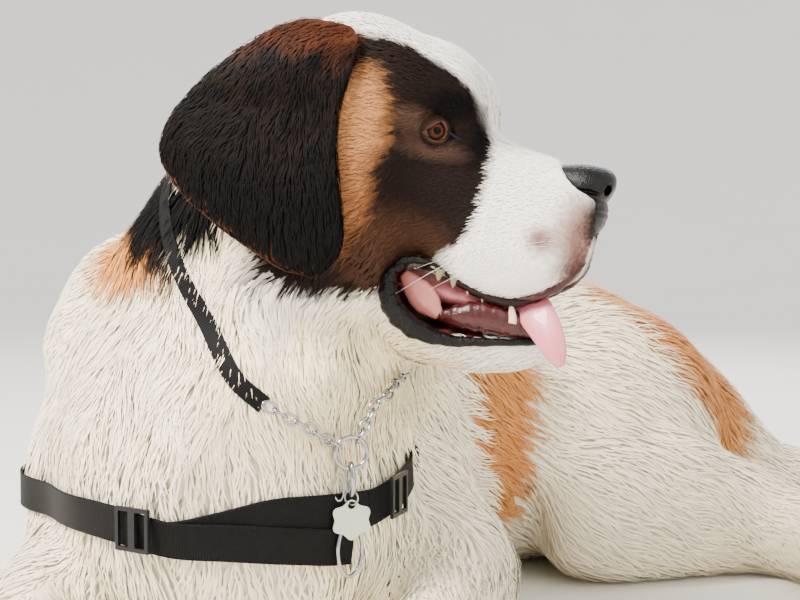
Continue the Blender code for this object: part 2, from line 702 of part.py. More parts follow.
def add_lids(head, side, dog):
    """Rims of the lids round one eye, the opening between them and the socket behind."""
    place = eye_frame(side)
    away, radii = HOLLOW
    hollow = ellipsoid("hollow", (0.0, away, 0.0), radii, 0, dog, sides=14)
    hollow.data.transform(place)
    head = cut(head, hollow, "DIFFERENCE", dog)
    reach = EYE_RADIUS + 0.0012
    rim = []
    for x, z in almond(14):
        depth = math.sqrt(max(reach**2 - x**2 - z**2, 0.2 * reach**2))
        rim.append(place @ Vector((x, depth, z)))
    lids = tube("lids", rim, [LID_THICKNESS] * len(rim), dog, closed=True)
    head = joined(head, [lids], dog)
    bm = bmesh.new()
    back = [bm.verts.new((0.92 * x, 0.003, 0.92 * z)) for x, z in almond(12)]
    bm.faces.new(back)
    made = bmesh.ops.extrude_face_region(bm, geom=bm.faces[:])
    moved = [v for v in made["geom"] if isinstance(v, bmesh.types.BMVert)]
    bmesh.ops.translate(bm, vec=(0.0, 0.03, 0.0), verts=moved)
    bmesh.ops.transform(bm, matrix=place, verts=bm.verts)
    head = cut(head, mesh_object("opening", bm, dog), "DIFFERENCE", dog)
    socket = ellipsoid("socket", place.translation, (EYE_RADIUS + GAP,) * 3, 0, dog, sides=14)
    return cut(head, socket, "DIFFERENCE", dog)


def cone_tooth(name, base, radius, height, collection):
    """A tooth as a pointed cone, upright or, with a negative height, hanging."""
    bm = bmesh.new()
    bmesh.ops.create_cone(
        bm, cap_ends=True, segments=6, radius1=radius, radius2=0.15 * radius, depth=abs(height)
    )
    if height < 0:
        bmesh.ops.transform(bm, matrix=Matrix.Rotation(math.pi, 4, "X"), verts=bm.verts)
    bmesh.ops.translate(bm, vec=base + UP * height / 2, verts=bm.verts)
    return mesh_object(name, bm, collection)


def make_head(dog):
    """The head with its lids, nose, mouth, teeth and tongue."""
    nodes = {}
    pieces = [loft("muzzle", MUZZLE, dog)]
    for i, (centre, radii, turn) in enumerate(HEAD_MASSES):
        for side in (1, -1) if centre[1] else (1,):
            place = (centre[0], side * centre[1], centre[2])
            pieces.append(ellipsoid(f"skull_{i}_{side}", place, radii, side * turn, dog))
    nape = loft("nape", NECK[1:], dog)
    nape.data.transform(HEAD_FRAME.inverted())
    pieces.append(nape)
    head = fused("head", pieces, dog, 0.004, 16, HEAD_TRIANGLES)
    head = cut(head, prism("mouth", MOUTH_EDGE, 0.12, dog), "DIFFERENCE", dog)
    head = cut(head, loft("palate", PALATE, dog, sides=10, steps=1), "DIFFERENCE", dog)
    teeth = []
    for i in range(CHEEK_TEETH):
        for side in (1, -1):
            base = Vector((0.018 + 0.016 * i, side * 0.034, -0.096))
            teeth.append(cone_tooth("tooth", base, 0.0062, -0.030 - 0.001 * i, dog))
    head = joined(head, teeth, dog)
    for side in (1, -1):
        name = "eye_left" if side > 0 else "eye_right"
        head = add_lids(head, side, dog)
        nodes[name] = ellipsoid(name, eye_frame(side).translation, (EYE_RADIUS,) * 3, 0, dog, sides=14)
    leather = fused("nose", [loft("leather", NOSE, dog)], dog, 0.0025, 2, 220)
    head = cut(head, copied(leather, "nose_bed", dog, grow=GAP), "DIFFERENCE", dog)
    nodes["nose"] = pierced_nose(leather, dog)
    wedge = head_wedge(0.0, dog)
    wedge.data.transform(HEAD_FRAME.inverted())
    nodes["head"] = cut(head, wedge, "INTERSECT", dog)
    jaw = fused("lower_jaw", [loft("jaw", LOWER_JAW, dog)], dog, 0.004, 4, 480)
    jaw = cut(jaw, prism("mouth", MOUTH_EDGE, 0.12, dog), "DIFFERENCE", dog)
    gums = [(x, y, z + GUM_RISE, w * 0.70, h * 0.8) for x, y, z, w, h in LOWER_JAW[2:]]
    gums = loft("gums", gums, dog, sides=10, steps=1)
    canines = []
    for side in (1, -1):
        base, radius, height = CANINE
        place = Vector((base.x, side * base.y, base.z))
        canines.append(cone_tooth("canine", place, radius, height, dog))
    lips = []
    for side in (1, -1):
        roll = [Vector((x, side * y, z)) for x, z, y in LIP_ROLL]
        lips.append(tube("lip", roll, [LIP_RADIUS] * len(roll), dog))
    jaw = joined(jaw, [gums, *canines, *lips], dog)
    jaw = cut(jaw, copied(nodes["head"], "head_bed", dog, grow=GAP), "DIFFERENCE", dog, "MANIFOLD")
    wedge = head_wedge(0.0, dog)
    wedge.data.transform(HEAD_FRAME.inverted())
    jaw = cut(jaw, wedge, "INTERSECT", dog)
    nodes["lower_jaw"] = jaw
    tongue = loft("tongue", TONGUE, dog, sides=8, steps=2)
    tongue = cut(tongue, copied(jaw, "bed", dog, grow=GAP), "DIFFERENCE", dog)
    tongue = cut(tongue, copied(nodes["head"], "bed", dog, grow=GAP), "DIFFERENCE", dog)
    nodes["tongue"] = tongue
    for node in nodes.values():
        to_world(node)
    return nodes


def pierced_nose(nose, dog):
    """The nose leather with its nostrils."""
    for number, (centre, radii, turn) in enumerate((NOSTRIL, NOSTRIL_SLIT)):
        for side in (1, -1):
            place = (centre[0], side * centre[1], centre[2])
            nostril = ellipsoid("nostril", place, radii, side * turn, dog, sides=8)
            nose = cut(nose, nostril, "DIFFERENCE", dog)
    return nose


def surface(*nodes):
    """One search tree over the surfaces of the nodes."""
    points = []
    faces = []
    for node in nodes:
        first = len(points)
        points += [v.co.copy() for v in node.data.vertices]
        faces += [[first + i for i in p.vertices] for p in node.data.polygons]
    return BVHTree.FromPolygons(points, faces)


def make_ear(name, side, near_head, dog):
    """One hanging ear, a curved flap that lies on the head, hollow under its fold."""
    rows = smooth_path(EAR_ROWS, 2)
    out = HEAD_FRAME.to_3x3() @ Vector((0.0, side, 0.0))
    places = []
    heights = []
    for i, (z, front, back, away) in enumerate(rows):
        for k in range(EAR_COLUMNS):
            u = k / (EAR_COLUMNS - 1)
            crease = EAR_CREASE * math.sin(math.pi * u) * math.sin(math.pi * min(i / 7, 1.0))
            curl = EAR_CURL * max(0.0, 1 - u / 0.25) ** 2
            place = HEAD_FRAME @ Vector((front + (back - front) * u * EAR_SPREAD[side], 0.0, z))
            hit = near_head.ray_cast(place + out * 0.3, -out)[0]
            lain = (hit - place).dot(out) + 2 * GAP if hit else 0.0
            places.append(place)
            heights.append(max(lain, away + crease - curl))
    faces = []
    for i in range(len(rows) - 1):
        for k in range(EAR_COLUMNS - 1):
            a = i * EAR_COLUMNS + k
            b, c, d = a + 1, a + EAR_COLUMNS + 1, a + EAR_COLUMNS
            faces += [(c, b, a), (d, c, a)] if side > 0 else [(a, b, c), (a, c, d)]
    met = True
    while met:
        lowered = [place + out * (height - GAP) for place, height in zip(places, heights)]
        tree = BVHTree.FromPolygons(lowered, faces)
        met = {corner for face, _ in tree.overlap(near_head) for corner in faces[face]}
        for corner in met:
            heights[corner] += EAR_STEP
        for corner, height in enumerate(list(heights)):
            i, k = divmod(corner, EAR_COLUMNS)
            near = [
                heights[m * EAR_COLUMNS + n]
                for m in range(max(i - 1, 0), min(i + 2, len(rows)))
                for n in range(max(k - 1, 0), min(k + 2, EAR_COLUMNS))
            ]
            heights[corner] = max(height, sum(near) / len(near) - EAR_STEP)
    mesh = bpy.data.meshes.new(name)
    mesh.from_pydata([place + out * height for place, height in zip(places, heights)], [], faces)
    ear = bpy.data.objects.new(name, mesh)
    dog.objects.link(ear)
    wall = ear.modifiers.new("wall", "SOLIDIFY")
    wall.thickness = EAR_THICKNESS
    wall.offset = 1.0
    return baked(ear, dog)


def shaped(name, points, faces, collection):
    """A mesh object from points and faces, with its faces turned outwards."""
    mesh = bpy.data.meshes.new(name)
    mesh.from_pydata(points, [], faces)
    bm = bmesh.new()
    bm.from_mesh(mesh)
    bpy.data.meshes.remove(mesh)
    return mesh_object(name, bm, collection)


def seat(row, width, flesh):
    """Where a strap's row touches the flesh: the middle of its lower face, its slant and the way out."""
    centre, way, across = row
    shares = (-0.5, -0.25, 0.0, 0.25, 0.5)
    places = [centre + across * width * share for share in shares]
    hits = [flesh.ray_cast(place + way * STRAP_START, -way)[0] or place for place in places]
    depths = [(hit - centre).dot(way) for hit in hits]
    slope = (depths[-1] - depths[0]) / width
    middle = max(depth - slope * share * width for depth, share in zip(depths, shares))
    return centre + way * middle, (across + way * slope).normalized(), way


def laid_strap(name, rows, flesh, dog, lift=STRAP_LIFT, width=STRAP_WIDTH, clear_of=()):
    """A strap laid along rows of a centre, the way out and the way across, raised where it would dip in."""
    seats = [seat(row, width, flesh) for row in rows]
    lifts = [lift] * len(seats)
    faces = []
    for first in range(0, 4 * (len(seats) - 1), 4):
        for k in range(4):
            a, b = first + k, first + (k + 1) % 4
            faces += [(a, b, b + 4), (a, b + 4, a + 4)]
    last = 4 * len(seats) - 4
    ends = [(2, 1, 0), (3, 2, 0), (last, last + 1, last + 2), (last, last + 2, last + 3)]
    met = True
    while met:
        corners = []
        lowered = []
        for (base, slant, way), rise in zip(seats, lifts):
            low, high = (base + way * rise + slant * sign * width / 2 for sign in (-1, 1))
            upper = (high + way * STRAP_THICKNESS, low + way * STRAP_THICKNESS)
            corners += [low, high, *upper]
            lowered += [low - way * GAP, high - way * GAP, *upper]
        tree = BVHTree.FromPolygons(lowered, faces)
        met = {face // 8 for other in (flesh, *clear_of) for face, _ in tree.overlap(other)}
        for i in range(len(lifts)):
            if i in met or i - 1 in met:
                lifts[i] += STRAP_STEP
    return shaped(name, corners, faces + ends, dog)


def route_rows(waypoints, flesh, spacing=0.016):
    """Rows for a strap along a smooth route through the waypoints, each drawn onto the flesh."""
    path = smooth_path(waypoints, 12)
    picked = [path[0]]
    for point in path[1:]:
        if (point - picked[-1]).length > spacing:
            picked.append(point)
    found = [flesh.find_nearest(point)[:2] for point in picked]
    rows = []
    for i, (centre, _) in enumerate(found):
        near = found[max(i - 3, 0) : i + 4]
        along = found[min(i + 1, len(found) - 1)][0] - found[max(i - 1, 0)][0]
        way = sum((normal for _, normal in near), Vector())
        way = (way - along * way.dot(along) / along.length_squared).normalized()
        across = way.cross(along).normalized()
        rows.append((centre, way, across * math.copysign(1.0, across.z)))
    return rows


def make_harness(flesh, dog):
    """The straps of the harness round the chest and the girth, with their slides."""
    nodes = {}
    under = []
    for name, route in (
        ("harness_strap_right", STRAP_RIGHT),
        ("harness_strap_left", STRAP_LEFT),
        ("harness_strap_layer", STRAP_SECOND),
    ):
        nodes[name] = laid_strap(name, route_rows(route, flesh), flesh, dog, clear_of=under)
        under.append(surface(nodes[name]))
    rows = []
    low, high = GIRTH_ENDS
    for k in range(33):
        turn = math.radians(low + (high - low) * k / 32)
        way = Vector((math.cos(turn), 0.0, math.sin(turn)))
        rows.append((flesh.ray_cast(GIRTH_AXIS + way * 0.35, -way)[0], way, Vector((0.0, 1.0, 0.0))))
    nodes["harness_girth"] = laid_strap("harness_girth", rows, flesh, dog, clear_of=under)
    for name, place in SLIDES:
        nodes[name] = make_slide(name, place, flesh, dog)
    return nodes


def make_slide(name, place, flesh, dog):
    """A slide of the harness: a frame with a bar across its middle, over the strap."""
    wide, high, thick = SLIDE_SIZE
    centre, normal = flesh.find_nearest(place)[:2]
    out = Vector((normal.x, normal.y, 0.0)).normalized()
    bm = bmesh.new()
    bmesh.ops.create_cube(bm, size=1.0)
    bmesh.ops.transform(bm, matrix=Matrix.Diagonal((wide, thick, high, 1.0)), verts=bm.verts)
    slide = mesh_object(name, bm, dog)
    for sign in (1, -1):
        bm = bmesh.new()
        bmesh.ops.create_cube(bm, size=1.0)
        size = Matrix.Diagonal((0.30 * wide, 4 * thick, 0.80 * high, 1.0))
        place = Matrix.Translation((sign * wide / 4, 0, 0))
        bmesh.ops.transform(bm, matrix=place @ size, verts=bm.verts)
        slide = cut(slide, mesh_object("window", bm, dog), "DIFFERENCE", dog)
    lift = STRAP_LIFT + STRAP_THICKNESS + 0.004 + thick / 2
    turn = out.to_track_quat("Y", "Z").to_matrix().to_4x4()
    slide.data.transform(Matrix.Translation(centre + out * lift) @ turn)
    return slide


def oval(name, centre, along, across, half_long, half_wide, wire, points, dog):
    """A closed wire ring in the plane of along and across."""
    route = []
    for k in range(points):
        turn = 2 * math.pi * (k + 0.5) / points
        route.append(centre + along * half_long * math.cos(turn) + across * half_wide * math.sin(turn))
    return tube(name, route, [wire] * points, dog, closed=True, resolution=0)


def make_collar(flesh, head, dog):
    """The collar's band, the chain that closes it at the throat, and what hangs from its ring."""
    nodes = {}
    rows = route_rows(COLLAR_ROUTE, flesh)
    nodes["collar_band"] = laid_strap("collar_band", rows, flesh, dog, width=COLLAR_WIDTH, clear_of=[head])
    ring_at = flesh.find_nearest(RING_AT)[0] + HANG_OUT * RING_RISE
    across = UP.cross(HANG_OUT).normalized()
    nodes["collar_ring"] = oval("collar_ring", ring_at, UP, across, RING[0], *RING, RING_POINTS, dog)
    links = chain(1, CHAIN_RIGHT[::-1], ring_at, flesh, dog)
    links += chain(len(links) + 1, CHAIN_LEFT, ring_at, flesh, dog)
    nodes.update({link.name: link for link in links})
    nodes.update(make_hanging(ring_at, flesh, dog))
    return nodes


def chain(first, route, ring_at, flesh, dog):
    """Links that lie turned about one another along a route that starts at the ring."""
    line = [ring_at]
    for point in smooth_path(route, 10):
        hit, normal = flesh.find_nearest(point)[:2]
        line.append(hit + normal * CHAIN_LIFT)
    inner = RING[0] * math.cos(math.pi / RING_POINTS) - RING[1]
    reach = inner + LINK[0] * math.cos(math.pi / LINK_POINTS) - LINK[2] - LINK_SLACK
    start = line[1] - ring_at
    centres = [ring_at, ring_at + (start - HANG_OUT * start.dot(HANG_OUT)).normalized() * reach]
    for point in line[2:]:
        while (point - centres[-1]).length > LINK_PITCH:
            centres.append(centres[-1] + (point - centres[-1]).normalized() * LINK_PITCH)
    made = []
    out = HANG_OUT
    for before, centre, after in zip(centres, centres[1:], [*centres[2:], centres[-1] * 2 - centres[-2]]):
        along = (after - before).normalized() if made else (centre - before).normalized()
        across = along.cross(out).normalized()
        out = across.cross(along).normalized()
        way = across if len(made) % 2 else out
        name = f"chain_link_{first + len(made):02d}"
        made.append(oval(name, centre, along, way, *LINK, LINK_POINTS, dog))
    return made


def make_hanging(ring_at, flesh, dog):
    """The snap's bow on the collar's ring, the tag on its own ring, and the ring on the harness."""
    nodes = {}
    across = UP.cross(HANG_OUT).normalized()
    long, wide, wire = BOW
    reach = long * math.cos(math.pi / BOW_POINTS)
    ring_inner = RING[0] * math.cos(math.pi / RING_POINTS) - RING[1]
    bow_at = ring_at - UP * (ring_inner - wire - LINK_SLACK + reach)
    nodes["snap_bow"] = oval("snap_bow", bow_at, UP, HANG_OUT, long, wide, wire, BOW_POINTS, dog)
    radius, thin = TAG_RING
    drop = radius * math.cos(math.pi / TAG_RING_POINTS)
    tag_at = bow_at - UP * (reach - wire - thin - LINK_SLACK + drop)
    twisted = (across + HANG_OUT).normalized()
    nodes["tag_ring"] = oval("tag_ring", tag_at, UP, twisted, radius, radius, thin, TAG_RING_POINTS, dog)
    nodes["tag"] = make_tag("tag", tag_at - UP * (drop + TAG_HOLE_UP), across, dog)
    hit, normal = flesh.find_nearest(STRAP_RING_AT)[:2]
    out = Vector((normal.x, normal.y, 0.0)).normalized()
    strap_ring_at = hit + out * RING_LIFT
    nodes["harness_ring"] = oval("harness_ring", strap_ring_at, UP, UP.cross(out), *STRAP_RING, 14, dog)
    return nodes


def make_tag(name, centre, across, dog):
    """A bare tag in the outline of a flower with six petals, with a hole for its ring."""
    bm = bmesh.new()
    rim = []
    for k in range(36):
        turn = 2 * math.pi * k / 36
        reach = 0.0152 + 0.0016 * math.cos(6 * turn)
        aside = across * reach * math.sin(turn) * TAG_WIDER
        rim.append(bm.verts.new(centre + aside + UP * reach * math.cos(turn)))
    bm.faces.new(rim)
    made = bmesh.ops.extrude_face_region(bm, geom=bm.faces[:])
    moved = [v for v in made["geom"] if isinstance(v, bmesh.types.BMVert)]
    bmesh.ops.translate(bm, vec=HANG_OUT * 0.0016, verts=moved)
    tag = mesh_object(name, bm, dog)
    pierced = centre + UP * TAG_HOLE_UP
    ends = [pierced - HANG_OUT * TAG_HOLE_UP, pierced + HANG_OUT * TAG_HOLE_UP]
    hole = tube("hole", ends, [TAG_HOLE] * 2, dog, resolution=2)
    return cut(tag, hole, "DIFFERENCE", dog)


def lie_at(place, normal):
    """The way of the coat along the surface at a place, from the guides by their distance."""
    way = Vector()
    for at, direction in LIE:
        way += Vector(direction).normalized() / ((place - Vector(at)).length ** 4 + 1e-6)
    return (way - normal * way.dot(normal)).normalized()


def make_lock(root, length, width, thickness, flesh, grow=0.0):
    """The corners of a flat, tapered lock that bends along the flesh from its sunk root to its tip."""
    here, normal = flesh.find_nearest(root)[:2]
    way = lie_at(here, normal)
    centres = [(here - normal * LOCK_SUNK, way, normal)]
    for rise in LOCK_RISE:
        here, normal = flesh.find_nearest(here + way * length / len(LOCK_RISE))[:2]
        way = lie_at(here, normal)
        place = here + normal * rise
        place.z = max(place.z, LOCK_LOWEST)
        centres.append((place, way, normal))
    corners = []
    for share, (place, way, normal) in zip(LOCK_TAPER, centres):
        aside = normal.cross(way) * (width * share / 2 + grow)
        out = normal * (thickness * share / 2 + grow)
        corners += [place + aside, place + out, place - aside, place - out]
    return [*corners, centres[-1][0] + centres[-1][1] * grow]


def lock_faces():
    """The triangles between a lock's rings of four corners, at its tip and over its root."""
    rings = len(LOCK_TAPER)
    made = []
    for ring in range(rings - 1):
        for k in range(4):
            a, b = 4 * ring + k, 4 * ring + (k + 1) % 4
            made += [(a, b, b + 4), (a, b + 4, a + 4)]
    last = 4 * rings
    made += [(last - 4 + k, last - 4 + (k + 1) % 4, last) for k in range(4)]
    return [*made, (0, 2, 1), (0, 3, 2)]


def lock_roots(node, low, high, count, flesh, rng):
    """Places on the outer side of a node's coat between two limits of y, as far apart as they can be."""
    mesh = node.data
    mesh.calc_loop_triangles()
    triangles = [[mesh.vertices[i].co for i in t.vertices] for t in mesh.loop_triangles]
    areas = [(b - a).cross(c - a).length for a, b, c in triangles]
    drawn = []
    for a, b, c in rng.choices(triangles, weights=areas, k=count * 40):
        s, t = sorted((rng.random(), rng.random()))
        place = a * s + b * (t - s) + c * (1 - t)
        _, normal, _, distance = flesh.find_nearest(place)
        outside = distance < LOCK_CLEAR and normal.z > -0.5
        if outside and low < place.y < high and place.z > 2 * LOCK_LOWEST:
            drawn.append(place)
    chosen = drawn[:1]
    while drawn and len(chosen) < count:
        chosen.append(max(drawn, key=lambda p: min((p - q).length_squared for q in chosen)))
    return chosen


def grow_locks(nodes, flesh, dog):
    """The nodes of long coat, each with its locks fused into it and clear of every other node."""
    rng = random.Random(LOCK_SEED)
    worn = surface(*(node for name, node in nodes.items() if name.startswith(WORN)))
    faces = lock_faces()
    locks = {}
    for name, low, high, count, *sizes in LOCKS:
        others = surface(*(node for other, node in nodes.items() if other != name))
        for root in lock_roots(nodes[name], low, high, count, flesh, rng):
            length = sizes[0] * rng.uniform(0.85, 1.15)
            for _ in range(LOCK_TRIES):
                fat = make_lock(root, length, *sizes[1:], flesh, LOCK_CLEAR)
                touched = others.overlap(BVHTree.FromPolygons(fat, faces))
                near = min(worn.find_nearest(corner)[3] for corner in fat[4:])
                if not touched and near > WORN_CLEAR and min(c.z for c in fat) > GAP:
                    points = make_lock(root, length, *sizes[1:], flesh)
                    locks.setdefault(name, []).append(shaped(f"{name}_lock", points, faces, dog))
                    break
                length *= 0.75
        if name in locks:
            nodes[name] = joined(nodes[name], locks.pop(name), dog, "MANIFOLD")


COATS = (
    (("torso", "neck", "tail"), (0.88, 0.83, 0.70), 0.9, 0.0),
    (("foreleg_left", "foreleg_right", "hindleg_left", "hindleg_right"), (0.88, 0.83, 0.72), 0.9, 0.0),
    (("head",), (0.30, 0.20, 0.14), 0.8, 0.0),
    (("lower_jaw",), (0.80, 0.74, 0.66), 0.8, 0.0),
    (("ear_left", "ear_right"), (0.03, 0.02, 0.02), 0.7, 0.0),
    (("nose",), (0.03, 0.025, 0.025), 0.35, 0.0),
    (("tongue",), (0.60, 0.22, 0.23), 0.3, 0.0),
    (("eye_left", "eye_right"), (0.16, 0.06, 0.03), 0.1, 0.0),
    (("collar_band", "harness"), (0.012, 0.012, 0.013), 0.6, 0.0),
    (("slide",), (0.015, 0.015, 0.016), 0.4, 0.0),
    (("collar_ring", "chain_link", "snap_bow", "tag_ring", "harness_ring"), (0.7, 0.7, 0.7), 0.2, 1.0),
    (("tag",), (0.45, 0.48, 0.40), 0.35, 0.8),
)


def dress(nodes):
    """Gives each node a material of its own in the colour of what it stands for."""
    for names, colour, roughness, metallic in COATS:
        for name, node in nodes.items():
            if name in names or any(name.startswith(f"{n}_") for n in names):
                node.data.materials.clear()
                node.data.materials.append(material(f"{name}_finish", colour, roughness, metallic))


def build():
    """Builds the dog."""
    clear_scene()
    dog = bpy.data.collections.new("saint_bernard")
    bpy.context.scene.collection.children.link(dog)
    nodes, flesh = make_flesh(dog)
    nodes.update(make_head(dog))
    nodes["neck"] = cut(nodes["neck"], copied(nodes["lower_jaw"], "bed", dog, grow=GAP), "DIFFERENCE", dog)
    nodes.update(make_harness(flesh, dog))
    nodes.update(make_collar(flesh, surface(nodes["head"], nodes["lower_jaw"]), dog))
    near_head = surface(*(nodes[name] for name in ("head", "neck", "torso", "lower_jaw", "collar_band")))
    for side, name in ((1, "ear_left"), (-1, "ear_right")):
        nodes[name] = make_ear(name, side, near_head, dog)
    grow_locks(nodes, flesh, dog)
    for name, node in nodes.items():
        node.name = name
    dress(nodes)


if __name__ == "__main__":
    build()
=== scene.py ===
"""The lying Saint Bernard as it looks: skin, coat of mesh tufts, eyes, nose, mouth, collar and harness."""

import logging
import math
from collections.abc import Callable
from dataclasses import dataclass
from enum import Enum

import bpy
import bmesh
import numpy as np
from mathutils import Matrix, Vector
from mathutils.bvhtree import BVHTree


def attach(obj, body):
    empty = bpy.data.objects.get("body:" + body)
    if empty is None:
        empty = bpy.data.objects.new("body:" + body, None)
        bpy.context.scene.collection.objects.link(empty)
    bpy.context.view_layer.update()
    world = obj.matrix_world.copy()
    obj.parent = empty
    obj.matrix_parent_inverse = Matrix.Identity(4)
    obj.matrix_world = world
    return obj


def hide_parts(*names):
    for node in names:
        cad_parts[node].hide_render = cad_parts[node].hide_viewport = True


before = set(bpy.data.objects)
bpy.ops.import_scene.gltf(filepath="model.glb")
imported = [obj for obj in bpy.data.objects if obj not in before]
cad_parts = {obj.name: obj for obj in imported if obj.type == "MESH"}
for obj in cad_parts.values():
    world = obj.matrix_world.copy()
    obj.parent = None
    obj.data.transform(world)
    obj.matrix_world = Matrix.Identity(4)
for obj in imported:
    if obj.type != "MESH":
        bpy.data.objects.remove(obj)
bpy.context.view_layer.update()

LOG = logging.getLogger("saint_bernard")
Array = np.ndarray
SEED = 37
# One whole turn, for random phases.
TURN = 6.28

HEAD_AT = np.array([0.258, -0.0167, 0.4886])
HEAD_TURN = math.radians(23.0)
HEAD_NOD = math.radians(12.0)
FLOOR_CLEAR = 0.0012
SKIN_CLEAR = 0.0008
BAKE_PATCH = 0.003


def head_axes() -> Array:
    """Returns the head's axes as columns: forward, left and up, turned and then nodded."""
    turn = Matrix.Rotation(HEAD_TURN, 3, "Z") @ Matrix.Rotation(HEAD_NOD, 3, "Y")
    return np.array(turn)


HEAD_AXES = head_axes()


def from_head(points: Array) -> Array:
    """Returns points of the head's own frame in the model's frame."""
    return np.asarray(points, float) @ HEAD_AXES.T + HEAD_AT


def to_head(points: Array) -> Array:
    """Returns points of the model's frame in the head's own frame."""
    return (np.asarray(points, float) - HEAD_AT) @ HEAD_AXES


def unit(vectors: Array) -> Array:
    """Returns the vectors at length one."""
    return vectors / np.maximum(np.linalg.norm(vectors, axis=-1, keepdims=True), 1e-12)


def smooth(path: Array, steps: int) -> Array:
    """Returns a Catmull-Rom curve through the rows of a path, with the given steps to each span."""
    padded = np.vstack([2 * path[0] - path[1], path, 2 * path[-1] - path[-2]])
    t = np.linspace(0, 1, steps, endpoint=False)[None, :, None]
    a, b, c, d = (padded[k : k + len(path) - 1][:, None, :] for k in range(4))
    spans = (2 * b + (c - a) * t + (2 * a - 5 * b + 4 * c - d) * t**2 + (3 * b - a - 3 * c + d) * t**3) / 2
    return np.vstack([spans.reshape(-1, path.shape[1]), path[-1:]])


def linear(red: float, green: float, blue: float) -> tuple[float, float, float]:
    """Returns a display colour of 0 to 255 as linear light."""
    return tuple(float(x) for x in (np.array([red, green, blue]) / 255.0) ** 2.2)


def waves(points: Array, size: float, seed: int) -> Array:
    """Returns smooth noise of about -1 to 1: the mean of sines of the given size in random directions."""
    rng = np.random.default_rng(seed)
    ways = unit(rng.normal(size=(9, 3))) * (2 * math.pi / size) * rng.uniform(0.6, 1.6, (9, 1))
    return np.sin(points @ ways.T + rng.uniform(0, TURN, 9)).mean(1) * 2.2


def fade(values: Array, start: float, width: float) -> Array:
    """Returns 0 up to the start, then a straight rise over the width, then 1."""
    return np.clip((values - start) / width, 0, 1)


def read(items: bpy.types.bpy_prop_collection, what: str, size: int, kind: type = float) -> Array:
    """Returns one value of all of a mesh's items, as rows of the given size."""
    values = np.empty(len(items) * size, kind)
    items.foreach_get(what, values)
    return values.reshape(-1, size)


def in_scene(name: str, mesh: bpy.types.Mesh) -> bpy.types.Object:
    """Returns a new object of the mesh, in the scene and riding on the one body."""
    obj = bpy.data.objects.new(name, mesh)
    bpy.context.scene.collection.objects.link(obj)
    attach(obj, "root")
    return obj


def merged_copy(node: str, name: str) -> bpy.types.Mesh:
    """Returns a copy of a CAD node's mesh with its doubled vertices merged."""
    copy = bmesh.new()
    copy.from_mesh(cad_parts[node].data)
    bmesh.ops.remove_doubles(copy, verts=copy.verts, dist=1e-6)
    mesh = bpy.data.meshes.new(name)
    copy.to_mesh(mesh)
    copy.free()
    return mesh


def mesh_object(name: str, points: Array, faces: Array) -> bpy.types.Object:
    """Makes an object from whole arrays.

    Args:
        name: The object's name.
        points: One row for each vertex.
        faces: One row for each face, all with as many corners.

    Returns:
        The new object, shaded smooth.
    """
    mesh = bpy.data.meshes.new(name)
    mesh.vertices.add(len(points))
    mesh.vertices.foreach_set("co", np.ascontiguousarray(points, np.float32).ravel())
    mesh.loops.add(faces.size)
    mesh.loops.foreach_set("vertex_index", np.ascontiguousarray(faces, np.int32).ravel())
    mesh.polygons.add(len(faces))
    mesh.polygons.foreach_set("loop_start", np.arange(0, faces.size, faces.shape[1], dtype=np.int32))
    mesh.polygons.foreach_set("use_smooth", np.ones(len(faces), bool))
    mesh.update(calc_edges=True)
    return in_scene(name, mesh)


def tube_faces(rings: int, sides: int, closed: bool = False) -> Array:
    """Returns the quads, outward, between rings of as many vertices, joined end to end if closed."""
    i, k = np.meshgrid(np.arange(rings if closed else rings - 1), np.arange(sides), indexing="ij")
    a = i * sides + k
    b = i * sides + (k + 1) % sides
    n = rings * sides
    return np.stack([a, b, (b + sides) % n, (a + sides) % n], -1).reshape(-1, 4)


def capped(name: str, rings: Array, material: bpy.types.Material | None = None) -> bpy.types.Object:
    """Makes a closed body from rings (rings, sides, 3) with a point in the middle of each end."""
    count, sides = rings.shape[:2]
    points = np.vstack([rings.reshape(-1, 3), rings[0].mean(0), rings[-1].mean(0)])
    k = np.arange(sides)
    after = (k + 1) % sides
    base = (count - 1) * sides
    start = np.stack([np.full(sides, count * sides), after, k], -1)
    end = np.stack([np.full(sides, count * sides + 1), base + k, base + after], -1)
    mesh = bpy.data.meshes.new(name)
    mesh.from_pydata(points.tolist(), [], tube_faces(count, sides).tolist() + start.tolist() + end.tolist())
    mesh.shade_smooth()
    if material:
        mesh.materials.append(material)
    return in_scene(name, mesh)


def frames(path: Array, up: Array) -> tuple[Array, Array, Array]:
    """Returns the tangent, the side and the normal at each point of a path, the normals near `up`."""
    tangent = unit(np.gradient(path, axis=0))
    side = unit(np.cross(tangent, up))
    return tangent, side, np.cross(side, tangent)


def circle(sides: int) -> Array:
    """Returns the angles of a circle's corners."""
    return np.linspace(0, 2 * math.pi, sides, endpoint=False)


def around(across: Array, up: Array, sides: int) -> Array:
    """Returns for each row a circle of directions, from `across` towards `up`."""
    turn = circle(sides)[None, :, None]
    return across[:, None] * np.cos(turn) + up[:, None] * np.sin(turn)


def oval(middle: Array, across: Array, up: Array, corners: int = 40) -> Array:
    """Returns the corners of the oval with the given middle and half axes."""
    turn = circle(corners)[:, None]
    return middle + np.cos(turn) * across + np.sin(turn) * up


def torus(name: str, path: Array, normal: Array, radius: float, sides: int) -> bpy.types.Object:
    """Makes a closed ring of round wire along a closed path whose flat side faces `normal`."""
    tangent = unit(np.roll(path, -1, 0) - np.roll(path, 1, 0))
    side = unit(np.cross(tangent, np.broadcast_to(normal, path.shape)))
    points = path[:, None] + around(side, np.cross(side, tangent), sides) * radius
    return mesh_object(name, points.reshape(-1, 3), tube_faces(len(path), sides, closed=True)[:, ::-1])


def uv_map(obj: bpy.types.Object, name: str, values: Array) -> None:
    """Gives the object a UV map with one row for each face corner."""
    layer = obj.data.uv_layers.new(name=name)
    layer.uv.foreach_set("vector", np.ascontiguousarray(values, np.float32).ravel())


